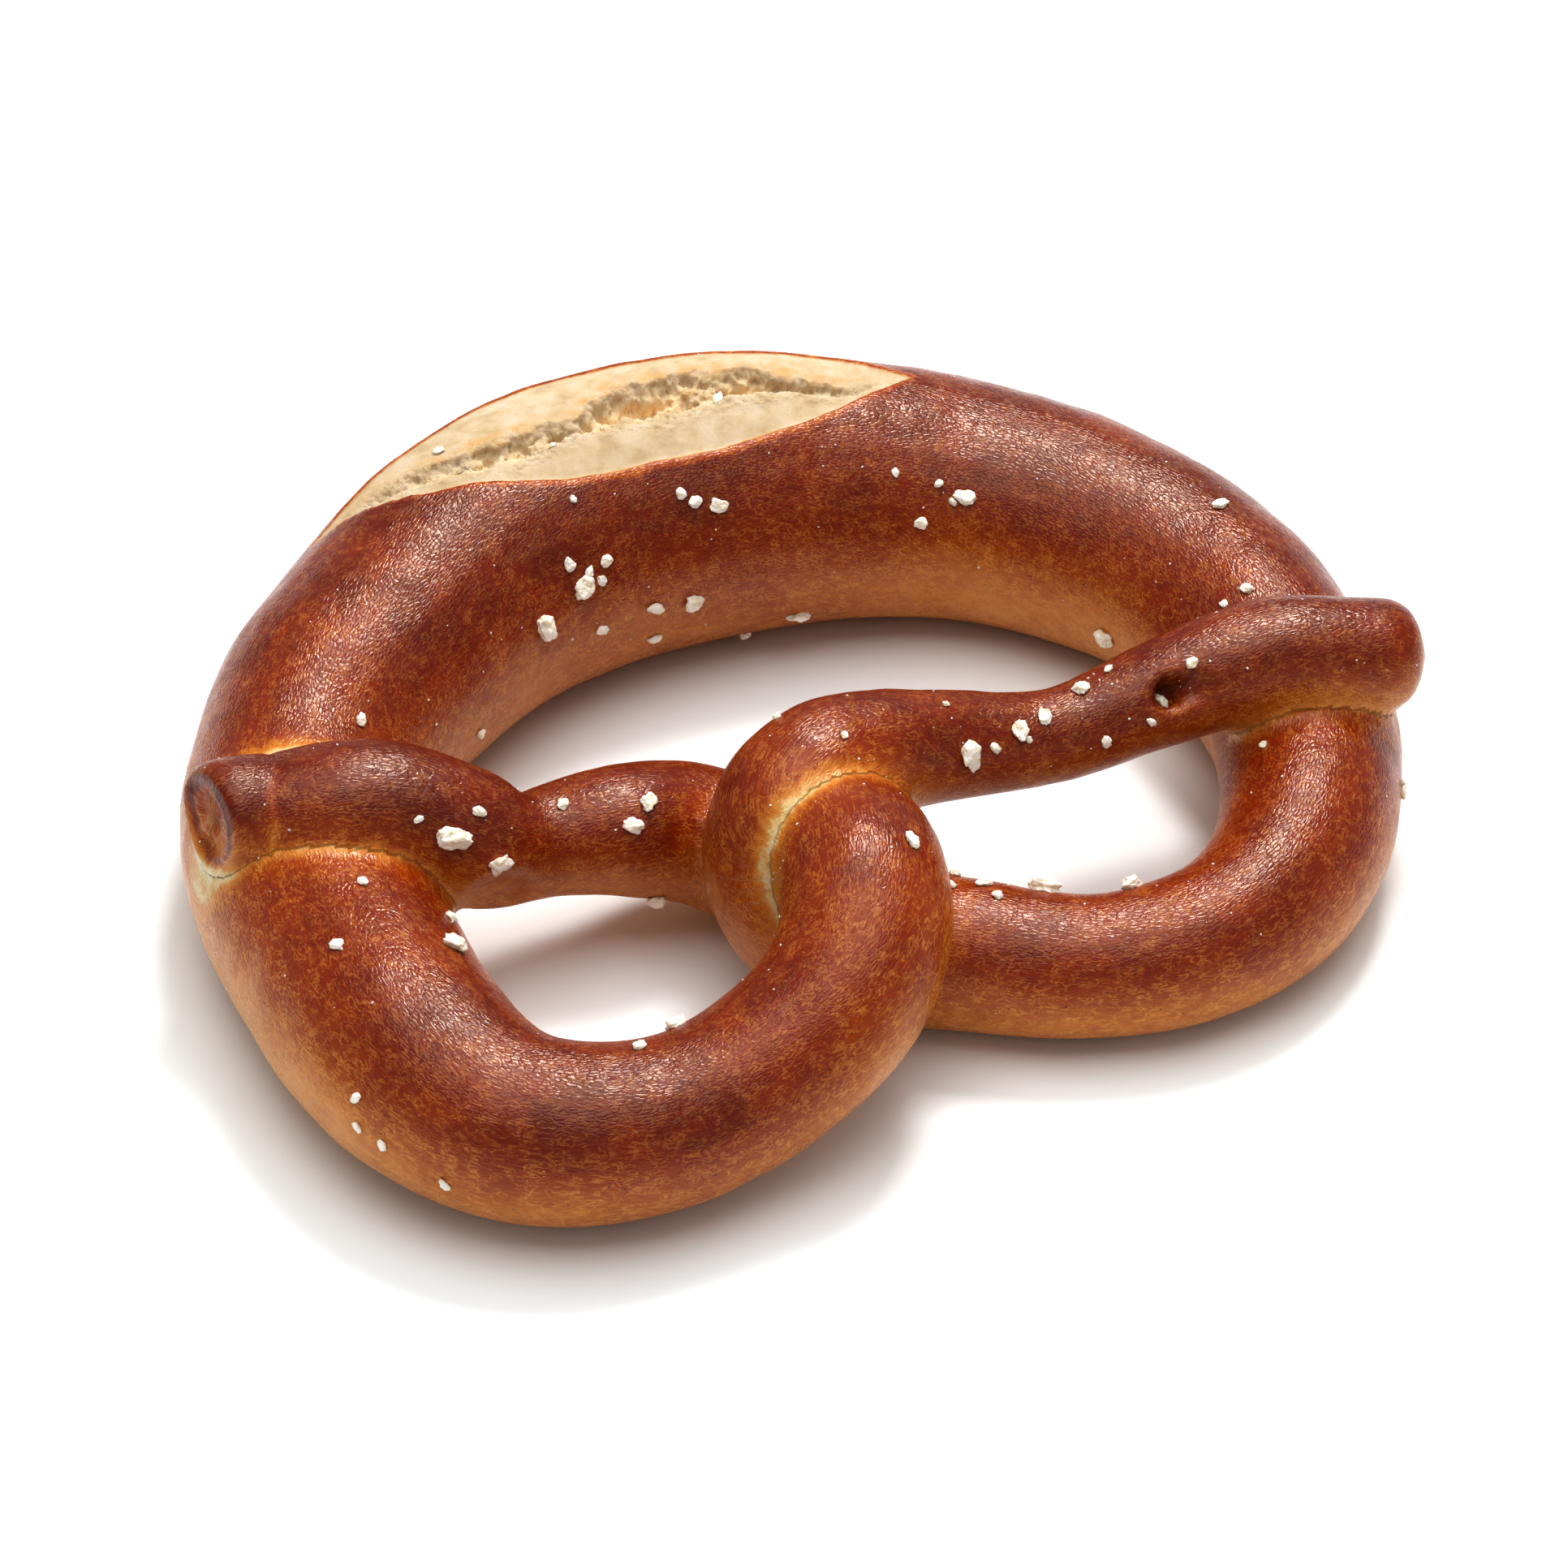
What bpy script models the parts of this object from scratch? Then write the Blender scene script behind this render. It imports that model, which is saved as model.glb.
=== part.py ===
# Bavarian pretzel: one rope of lye dough, thick in the middle and thin at both ends.
# Its two lobes lie towards -Y, the thick back lies towards +Y, and the arms cross twice in the middle.
# Both ends lie pressed onto the sides of the ring. The back has split open along a cut, and coarse salt
# is baked onto the crust. The origin is the middle of the footprint on the tray, and +Z is up.

import math

import bmesh
import bpy
import numpy as np
from mathutils import Vector
from mathutils.bvhtree import BVHTree

MM = 0.001

# Driving sizes, in millimetres unless the name says otherwise.
ROUTE_STEP = 1.0  # between the rope's rings
RING_CORNERS = 40  # corners of the rope's round section
VOXEL = 1.1  # grid on which the touching strands are fused
TRAY_SOFTNESS = 1.0  # how far above the tray the underside starts to flatten
FLAT_BELOW = 0.4  # height under which the underside is flat on the tray
DOUGH_TRIANGLES = 7200

# Every row is x, y, height of the rope's middle above the tray, and half its thickness.
LEFT_END = [
    (-74.8, -10.6, 26.6, 6.9),
    (-71.0, -9.3, 25.9, 7.3),
    (-66.0, -9.3, 25.0, 7.9),
    (-57.5, -10.2, 24.8, 8.9),
    (-49.5, -11.1, 23.7, 8.0),
    (-42.5, -13.0, 19.5, 8.3),
]
LEFT_ARM = [
    (-37.0, -12.0, 17.0, 7.0),
    (-30.0, -10.8, 16.2, 7.5),
    (-23.0, -10.0, 15.2, 8.4),
    (-15.0, -9.0, 12.2, 8.8),
]
UNDER_AND_OVER = [
    (-8.0, -12.0, 10.0, 9.2),
    (-2.5, -18.0, 12.0, 9.7),
    (0.0, -26.0, 20.0, 10.0),
    (0.0, -34.0, 24.0, 10.2),
    (-1.5, -42.5, 22.0, 10.4),
    (-6.5, -49.3, 18.0, 10.2),
]
LEFT_LOBE = [
    (-15.5, -53.9, 14.0, 10.0),
    (-26.0, -57.2, 11.5, 10.2),
    (-37.0, -58.0, 11.3, 10.7),
    (-46.5, -54.5, 11.6, 11.4),
    (-53.3, -46.5, 12.2, 12.6),
    (-58.4, -34.5, 12.6, 13.7),
    (-61.9, -18.0, 12.6, 14.2),
    (-63.4, -4.5, 12.8, 14.4),
    (-61.5, 8.0, 13.5, 14.3),
]
BACK = [
    (-55.0, 20.1, 14.7, 15.8),
    (-45.4, 30.6, 15.7, 17.2),
    (-35.3, 39.9, 16.9, 18.3),
    (-23.3, 46.9, 17.5, 19.1),
    (-10.0, 50.4, 17.5, 19.1),
    (4.0, 51.3, 17.3, 18.5),
    (20.0, 49.9, 16.3, 17.0),
    (35.0, 45.3, 14.9, 15.8),
    (46.5, 37.8, 14.0, 15.1),
    (56.5, 27.0, 13.2, 14.2),
]
RIGHT_LOBE = [
    (63.0, 11.0, 12.4, 13.1),
    (64.1, -6.0, 11.6, 12.0),
    (61.3, -18.4, 11.3, 11.4),
    (56.0, -29.0, 10.7, 10.6),
    (48.2, -36.4, 10.1, 9.8),
    (38.5, -40.1, 9.6, 9.2),
    (27.5, -40.0, 9.2, 8.9),
    (18.5, -37.1, 9.1, 9.1),
    (10.0, -33.6, 9.3, 9.5),
]
UNDER_AND_ROUND = [
    (2.5, -31.0, 9.6, 9.8),
    (-3.5, -28.0, 12.0, 9.8),
    (-7.5, -24.5, 17.5, 9.7),
    (-5.5, -20.5, 24.0, 9.4),
    (1.0, -16.5, 26.0, 8.7),
]
RIGHT_ARM = [
    (10.0, -14.0, 25.0, 7.4),
    (19.5, -12.5, 23.0, 6.6),
    (30.0, -11.7, 22.0, 5.9),
    (38.5, -9.9, 23.0, 6.3),
]
RIGHT_END = [
    (47.3, -8.5, 24.5, 7.0),
    (57.0, -7.2, 25.4, 7.6),
    (66.0, -7.8, 25.2, 7.6),
    (77.6, -9.0, 24.6, 7.0),
]
ROUTE = (
    LEFT_END
    + LEFT_ARM
    + UNDER_AND_OVER
    + LEFT_LOBE
    + BACK
    + RIGHT_LOBE
    + UNDER_AND_ROUND
    + RIGHT_ARM
    + RIGHT_END
)
BACK_MIDDLE = BACK[5]  # distances along the rope start here, and grow towards the right end
TIP_RIMS = (1.8, 5.0)  # the round rims of the left tip, cut off flat, and of the blunt right tip

# The split in the back is a pale lens between two crust edges, with a torn rift in it. Distances across
# are along the round section, from its top towards the middle of the pretzel. Every row is the distance
# along, the lens's back and front edge, and the rift's back edge, front edge and depth.
SPLIT = [
    (-55.5, -14.4, -14.4, -14.5, -14.4, 0.0),
    (-51.0, -14.6, -9.8, -12.8, -11.0, 0.5),
    (-46.5, -14.9, -3.2, -10.6, -6.6, 0.9),
    (-42.5, -15.4, 1.2, -8.2, -2.6, 1.4),
    (-38.0, -15.6, 4.9, -4.4, 1.8, 3.0),
    (-33.0, -14.9, 8.3, -2.0, 4.3, 3.4),
    (-27.5, -13.9, 10.5, -0.6, 4.6, 2.8),
    (-22.5, -13.1, 11.5, 0.4, 4.7, 3.6),
    (-17.5, -12.6, 11.7, -2.8, 5.0, 5.0),
    (-11.0, -12.1, 11.7, -3.6, 5.6, 5.4),
    (-5.0, -11.8, 11.1, -3.7, 4.2, 4.6),
    (1.5, -11.3, 9.4, -3.6, 2.6, 4.4),
    (8.0, -10.1, 6.9, -1.6, 2.2, 3.0),
    (13.0, -8.0, 3.9, -1.2, 2.2, 1.6),
    (17.5, -5.4, 0.3, -2.8, -1.6, 0.4),
    (21.5, -3.5, -3.5, -3.5, -3.5, 0.0),
]
SPLIT_READ_STEP = 0.5
SPLIT_SINK = 1.0  # of the pale skin below the crust in front
SPLIT_LIP = 0.8  # rise of the pale skin at its back edge
SPLIT_STEP = 1.4  # width of the step at the crust's edge
SPLIT_FULL_WIDTH = 8.0  # lens width from which sink and lip have their full size
SPLIT_SLOPE = 0.55  # share of the lens's width over which the pale skin sinks towards the front
RIFT_WALL = 1.8  # width of the rift's steep back wall
RIFT_FLOOR = 0.3  # share of the rift's width at which its front slope begins to rise
# The lump that is left hanging in the rift: place along and across, half sizes, and share filled.
RIFT_BRIDGE = (-6.0, -0.6, 4.2, 2.6, 0.8)

# Dents pressed into the crust: distance along, angle round, radius and depth.
DENTS = [
    (-277.0, 110.0, 5.5, 2.2),  # the pinch under the left arm
    (-275.0, -40.0, 4.5, 1.0),  # the same pinch from behind
    (254.0, 50.0, 2.8, 2.8),  # the finger hole in the right arm
]
# The left tip was cut off flat, and its face dried into a dish with a rolled rim.
TIP_DISH = (2.6, 5.4, 1.5)  # radius of the floor, radius of the rim, and depth
TIP_DISH_SHIFT = (-0.9, -0.5)  # of the dish's middle, sideways and up
TIP_RIM = (6.3, 1.4, 0.35)  # radius, half width and height of the rolled rim
TIP_REACH = (1.5, 4.5)  # distance behind the face over which the dish fades

# The grains that are largest in the photograph: distance along, angle round and size.
LARGE_GRAINS = [
    (-284.0, 56.0, 3.4),
    (-278.5, 67.0, 2.6),
    (-255.5, 135.0, 2.8),
    (-175.5, 46.0, 2.6),
    (-129.5, 40.0, 2.8),
    (-45.5, 75.0, 3.2),
    (-36.0, 70.0, 3.0),
    (-13.5, 95.0, 2.4),
    (6.0, 119.0, 2.4),
    (61.0, 98.0, 2.4),
    (145.5, 40.0, 3.2),
    (158.5, 38.0, 3.6),
    (225.0, 61.0, 3.2),
    (253.5, 62.0, 2.4),
]

# Salt: stretch of rope, angles round it, number of grains and the largest one.
SALT_STRETCHES = [
    (-307.0, -261.0, -20.0, 100.0, 8, 2.4),
    (-261.0, -249.0, 0.0, 110.0, 3, 2.2),
    (-219.0, -191.0, -60.0, 40.0, 3, 2.0),
    (-171.0, -139.0, -70.0, 60.0, 4, 2.2),
    (-133.0, -65.0, -40.0, 70.0, 6, 2.2),
    (-49.0, 14.0, 45.0, 105.0, 11, 2.8),
    (-49.0, 14.0, -95.0, -62.0, 5, 2.4),
    (17.0, 81.0, -40.0, 80.0, 8, 2.4),
    (87.0, 119.0, -40.0, 40.0, 4, 2.2),
    (129.0, 171.0, -50.0, 80.0, 8, 2.8),
    (194.0, 224.0, -60.0, 70.0, 4, 2.0),
    (224.0, 285.0, -80.0, 100.0, 12, 2.8),
]
SALT_SMALLEST = 1.5
SALT_APART = 2.2  # between two grains' middles, in sizes
SALT_RAISED = 0.12  # how far a grain's middle stands above the crust, in sizes
SALT_SEED = 20


def clear_scene():
    for thing in list(bpy.data.objects):
        bpy.data.objects.remove(thing, do_unlink=True)


def new_collection(name):
    collection = bpy.data.collections.new(name)
    bpy.context.scene.collection.children.link(collection)
    return collection


def crust_material():
    material = bpy.data.materials.new("lye_crust")
    material.use_nodes = True
    shader = material.node_tree.nodes["Principled BSDF"]
    shader.inputs["Base Color"].default_value = (0.30, 0.075, 0.02, 1.0)
    shader.inputs["Roughness"].default_value = 0.38
    shader.inputs["Metallic"].default_value = 0.0
    return material


# A natural cubic spline through rows of numbers, read at a step.
def smooth_rows(rows, step):
    rows = np.array(rows, float)
    spans = np.linalg.norm(np.diff(rows[:, :3], axis=0), axis=1)
    knots = np.sqrt(spans)
    count = len(rows)
    system = np.eye(count)
    wanted = np.zeros_like(rows)
    for i in range(1, count - 1):
        before, after = knots[i - 1], knots[i]
        system[i, i - 1 : i + 2] = before, 2 * (before + after), after
        wanted[i] = 6 * ((rows[i + 1] - rows[i]) / after - (rows[i] - rows[i - 1]) / before)
    bend = np.linalg.solve(system, wanted)
    read = []
    for i, knot in enumerate(knots):
        steps = max(2, math.ceil(spans[i] / step))
        past = (np.arange(steps) / steps)[:, None] * knot
        left = knot - past
        read.append(
            (bend[i] * left**3 + bend[i + 1] * past**3) / (6 * knot)
            + (rows[i] / knot - bend[i] * knot / 6) * left
            + (rows[i + 1] / knot - bend[i + 1] * knot / 6) * past
        )
    read.append(rows[-1:])
    return np.vstack(read)


# The rope as arrays: middles, half thickness, distance along, and the directions up and to the side.
class Rope:
    def __init__(self, rows):
        read = smooth_rows(rows, ROUTE_STEP)
        self.middle = read[:, :3]
        steps = np.linalg.norm(np.diff(self.middle, axis=0), axis=1)
        self.along = np.concatenate([[0.0], np.cumsum(steps)])
        self.half = read[:, 3] - self.tip_loss()
        self.along -= self.along[np.linalg.norm(self.middle - BACK_MIDDLE[:3], axis=1).argmin()]
        self.heading = np.gradient(self.middle, axis=0)
        self.heading /= np.linalg.norm(self.heading, axis=1)[:, None]
        self.up = np.array([0.0, 0.0, 1.0]) - self.heading * self.heading[:, 2:3]
        self.up /= np.linalg.norm(self.up, axis=1)[:, None]
        self.side = np.cross(self.heading, self.up)

    # How much of its half thickness the rope loses near its tips, so that their rims are round.
    def tip_loss(self):
        loss = 0.0
        for to_tip, rim in zip((self.along, self.along[-1] - self.along), TIP_RIMS):
            missing = np.clip(1 - to_tip / rim, 0, 1)
            loss = loss + rim * (1 - np.sqrt(1 - missing**2))
        return loss

    def index_at(self, along):
        return int(np.argmin(np.abs(self.along - along)))

    # The direction out of the rope at an angle round it.
    def outward(self, i, around_deg):
        turn = math.radians(around_deg)
        return self.up[i] * math.cos(turn) + self.side[i] * math.sin(turn)

    # For points near the rope: where they lie along it, round it and across it, and the way out of it.
    def locate(self, points):
        nearest = np.empty(len(points), int)
        for start in range(0, len(points), 2000):
            part = points[start : start + 2000]
            apart = np.linalg.norm(part[:, None] - self.middle[None], axis=2) - self.half[None]
            nearest[start : start + 2000] = apart.argmin(axis=1)
        off = points - self.middle[nearest]
        ahead = (off * self.heading[nearest]).sum(axis=1)
        off -= self.heading[nearest] * ahead[:, None]
        along = self.along[nearest] + ahead
        sideways = (off * self.side[nearest]).sum(axis=1)
        upwards = (off * self.up[nearest]).sum(axis=1)
        across = np.arctan2(sideways, upwards) * np.interp(along, self.along, self.half)
        out = off / np.maximum(np.linalg.norm(off, axis=1), 1e-6)[:, None]
        return along, sideways, upwards, across, out


# The rope as a bevelled curve whose points carry its thickness, made into a mesh with welded caps.
def rope_mesh(rope):
    curve = bpy.data.curves.new("rope_curve", "CURVE")
    curve.dimensions = "3D"
    curve.bevel_depth = MM
    curve.bevel_resolution = RING_CORNERS // 4 - 1
    curve.use_fill_caps = True
    line = curve.splines.new("POLY")
    line.points.add(len(rope.middle) - 1)
    for point, place, half in zip(line.points, rope.middle, rope.half):
        point.co = (*(place * MM), 1.0)
        point.radius = half
    holder = bpy.data.objects.new("rope_curve", curve)
    bpy.context.scene.collection.objects.link(holder)
    graph = bpy.context.evaluated_depsgraph_get()
    mesh = bpy.data.meshes.new_from_object(holder.evaluated_get(graph))
    bpy.data.objects.remove(holder, do_unlink=True)
    work = bmesh.new()
    work.from_mesh(mesh)
    bmesh.ops.remove_doubles(work, verts=work.verts, dist=1e-6)
    work.to_mesh(mesh)
    work.free()
    return mesh


def points_of(mesh):
    points = np.empty(len(mesh.vertices) * 3)
    mesh.vertices.foreach_get("co", points)
    return points.reshape(-1, 3) / MM


def move_points(mesh, points):
    mesh.vertices.foreach_set("co", (points * MM).ravel())
    mesh.update()


# Dough that would reach below the tray spreads flat on it.
def flatten_on_tray(mesh):
    points = points_of(mesh)
    low = points[:, 2] < TRAY_SOFTNESS
    below = points[low, 2] - TRAY_SOFTNESS
    points[low, 2] = np.maximum(TRAY_SOFTNESS * np.exp(below / TRAY_SOFTNESS) - 0.15, 0.0)
    move_points(mesh, points)


# The object's mesh as its modifiers leave it; the modifiers are then gone.
def apply_modifiers(thing):
    graph = bpy.context.evaluated_depsgraph_get()
    mesh = bpy.data.meshes.new_from_object(thing.evaluated_get(graph))
    thing.modifiers.clear()
    thing.data = mesh


def fuse_strands(dough):
    remesh = dough.modifiers.new("fuse", "REMESH")
    remesh.mode = "VOXEL"
    remesh.voxel_size = VOXEL * MM
    smooth = dough.modifiers.new("smooth", "SMOOTH")
    smooth.factor = 0.5
    smooth.iterations = 6
    apply_modifiers(dough)


# 1 in the middle of a bell, 0 at its rim and beyond.
def bell(distance, radius):
    share = np.clip(distance / radius, 0, 1)
    return (1 - share**2) ** 2


def press_dents(points, rope, along_rope):
    for along, angle, radius, depth in DENTS:
        i = rope.index_at(along)
        out = rope.outward(i, angle)
        spot = rope.middle[i] + out * rope.half[i]
        on_strand = np.abs(along_rope - along) < 3 * radius
        reach = bell(np.linalg.norm(points - spot, axis=1), radius) * on_strand
        points -= out * (depth * reach)[:, None]


# 0 below a range, 1 above it, and a smooth rise between.
def ramp(value, start, end):
    share = np.clip((value - start) / (end - start), 0, 1)
    return share * share * (3 - 2 * share)


# How far the pale skin of the split lies above or below the crust's round form.
def split_relief(along, across):
    rows = smooth_rows(SPLIT, SPLIT_READ_STEP)
    back, front, rift_back, rift_front, depth = (np.interp(along, rows[:, 0], rows[:, k]) for k in range(1, 6))
    width = front - back
    to_front = front - across
    to_back = across - back
    strength = np.clip(width / SPLIT_FULL_WIDTH, 0, 1)
    backwards = ramp(to_back, 0, SPLIT_SLOPE * width + 0.1)
    sink = SPLIT_SINK * ramp(to_front, 0, SPLIT_STEP) * backwards
    lip = SPLIT_LIP * ramp(to_back, -SPLIT_STEP, 0) * (1 - backwards)
    past_back = across - rift_back
    share = past_back / np.maximum(rift_front - rift_back, 0.5)
    profile = ramp(past_back, 0, RIFT_WALL) * (1 - ramp(share, RIFT_FLOOR, 1))
    place, side, long, wide, filled = RIFT_BRIDGE
    lump = bell(np.hypot((along - place) / long, (across - side) / wide), 1.0)
    torn = np.maximum(depth, 0) * profile * (1 - filled * lump)
    inside = ramp(np.minimum(to_front, to_back), 0, 1)
    return strength * (lip - sink) - torn * inside


# The dried face of the left tip: how far it lies inwards, at a distance behind the tip.
def tip_relief(behind, sideways, upwards):
    floor, rim, depth = TIP_DISH
    shift_side, shift_up = TIP_DISH_SHIFT
    inwards = depth * (1 - ramp(np.hypot(sideways - shift_side, upwards - shift_up), floor, rim))
    radius, wide, height = TIP_RIM
    inwards -= height * bell(np.abs(np.hypot(sideways, upwards) - radius), wide)
    return inwards * (1 - ramp(behind, *TIP_REACH))


def shape_details(dough, rope):
    points = points_of(dough.data)
    along, sideways, upwards, across, out = rope.locate(points)
    press_dents(points, rope, along)
    points += rope.heading[0] * tip_relief(along - rope.along[0], sideways, upwards)[:, None]
    points += out * split_relief(along, across)[:, None]
    move_points(dough.data, points)


def thin_out(dough):
    triangles = sum(len(face.vertices) - 2 for face in dough.data.polygons)
    decimate = dough.modifiers.new("decimate", "DECIMATE")
    decimate.ratio = DOUGH_TRIANGLES / triangles
    apply_modifiers(dough)


# The middle of the footprint goes to the origin, and the underside rests flat on the tray.
def stand_at_origin(dough):
    points = points_of(dough.data)
    low, high = points.min(axis=0), points.max(axis=0)
    shift = np.array([(low[0] + high[0]) / 2, (low[1] + high[1]) / 2, low[2]])
    points -= shift
    points[points[:, 2] < FLAT_BELOW, 2] = 0.0
    move_points(dough.data, points)
    return shift


# One rough crystal: a coarse ball, stretched, turned and chipped.
def salt_grain(size, place, out, draw, collection):
    work = bmesh.new()
    bmesh.ops.create_icosphere(work, subdivisions=1, radius=size / 2 * MM)
    stretch = draw.uniform(0.75, 1.1, 3)
    for vertex in work.verts:
        chip = draw.uniform(0.85, 1.12)
        vertex.co = Vector(vertex.co * Vector(stretch) * chip)
    turn = Vector(draw.normal(size=3)).to_track_quat("Z", "Y")
    bmesh.ops.rotate(work, verts=work.verts, matrix=turn.to_matrix())
    mesh = bpy.data.meshes.new("grain")
    work.to_mesh(mesh)
    work.free()
    grain = bpy.data.objects.new("grain", mesh)
    grain.location = (place + out * size * SALT_RAISED) * MM
    collection.objects.link(grain)


# Where the crust lies at a distance along the rope and an angle round it, or None under another strand.
def crust_spot(rope, skin, shift, along, angle):
    i = rope.index_at(along)
    out = rope.outward(i, angle)
    middle = rope.middle[i] - shift
    hit, normal, _, _ = skin.ray_cast(Vector(middle + out * 40) * MM, Vector(-out))
    if hit is None:
        return None
    place = np.array(hit) / MM
    if abs(np.linalg.norm(place - middle) - rope.half[i]) > 1.5:
        return None
    return place, np.array(normal)


# The largest grains lie where the photograph shows them, and the others fall at random in each stretch.
def scatter_salt(dough, rope, shift, collection):
    graph = bpy.context.evaluated_depsgraph_get()
    skin = BVHTree.FromObject(dough, graph)
    draw = np.random.default_rng(SALT_SEED)
    laid = []

    def lay(along, angle, size):
        spot = crust_spot(rope, skin, shift, along, angle)
        if spot is None or spot[0][2] < size:
            return False
        for other, other_size in laid:
            if np.linalg.norm(spot[0] - other) < SALT_APART / 2 * (size + other_size):
                return False
        laid.append((spot[0], size))
        salt_grain(size, *spot, draw, collection)
        return True

    for along, angle, size in LARGE_GRAINS:
        lay(along, angle, size)
    for start, end, low, high, count, largest in SALT_STRETCHES:
        for n in range(count):
            size = largest - (largest - SALT_SMALLEST) * (n / count) ** 0.6
            tries = 0
            while tries < 40 and not lay(draw.uniform(start, end), draw.uniform(low, high), size):
                tries += 1
    return len(laid)


# One union bakes every grain onto the crust, and the loose grains are then removed.
def bake_on(dough, collection):
    union = dough.modifiers.new("salt", "BOOLEAN")
    union.operation = "UNION"
    union.operand_type = "COLLECTION"
    union.collection = collection
    union.solver = "MANIFOLD"
    apply_modifiers(dough)
    for grain in list(collection.objects):
        bpy.data.objects.remove(grain, do_unlink=True)
    bpy.data.collections.remove(collection)


def build():
    clear_scene()
    pretzel = new_collection("bavarian_pretzel")
    salt = new_collection("loose_salt")
    rope = Rope(ROUTE)
    mesh = rope_mesh(rope)
    flatten_on_tray(mesh)
    dough = bpy.data.objects.new("pretzel", mesh)
    pretzel.objects.link(dough)
    fuse_strands(dough)
    shape_details(dough, rope)
    thin_out(dough)
    shift = stand_at_origin(dough)
    grains = scatter_salt(dough, rope, shift, salt)
    bake_on(dough, salt)
    dough.data.materials.clear()
    dough.data.materials.append(crust_material())
    dough.data.shade_smooth()
    print(f"rope {rope.along[0]:.0f} to {rope.along[-1]:.0f} mm, {grains} grains of salt, shift {shift.round(2)}")


build()
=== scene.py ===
import math

import bmesh
import bpy
import numpy as np
from mathutils import Matrix, Vector, noise
from mathutils.bvhtree import BVHTree


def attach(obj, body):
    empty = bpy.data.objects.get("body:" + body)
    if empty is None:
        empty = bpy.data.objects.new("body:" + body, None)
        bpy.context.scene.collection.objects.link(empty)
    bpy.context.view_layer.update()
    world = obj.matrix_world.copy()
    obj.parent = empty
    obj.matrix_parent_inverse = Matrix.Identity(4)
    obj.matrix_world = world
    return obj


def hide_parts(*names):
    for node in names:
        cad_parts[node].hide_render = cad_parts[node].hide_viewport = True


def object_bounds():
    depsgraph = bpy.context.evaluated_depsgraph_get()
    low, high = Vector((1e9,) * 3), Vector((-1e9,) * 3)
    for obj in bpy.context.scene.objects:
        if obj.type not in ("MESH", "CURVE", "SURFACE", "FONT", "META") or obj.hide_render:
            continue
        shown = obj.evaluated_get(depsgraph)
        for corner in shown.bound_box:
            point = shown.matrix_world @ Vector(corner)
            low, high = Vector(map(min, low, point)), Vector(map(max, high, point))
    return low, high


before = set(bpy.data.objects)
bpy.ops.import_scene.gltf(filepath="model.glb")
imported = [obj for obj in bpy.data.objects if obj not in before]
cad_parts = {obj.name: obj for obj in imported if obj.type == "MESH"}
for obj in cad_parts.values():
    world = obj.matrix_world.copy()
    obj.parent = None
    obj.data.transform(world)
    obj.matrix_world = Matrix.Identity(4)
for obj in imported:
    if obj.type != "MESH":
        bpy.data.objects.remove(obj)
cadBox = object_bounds()
mm = 0.001

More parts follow.
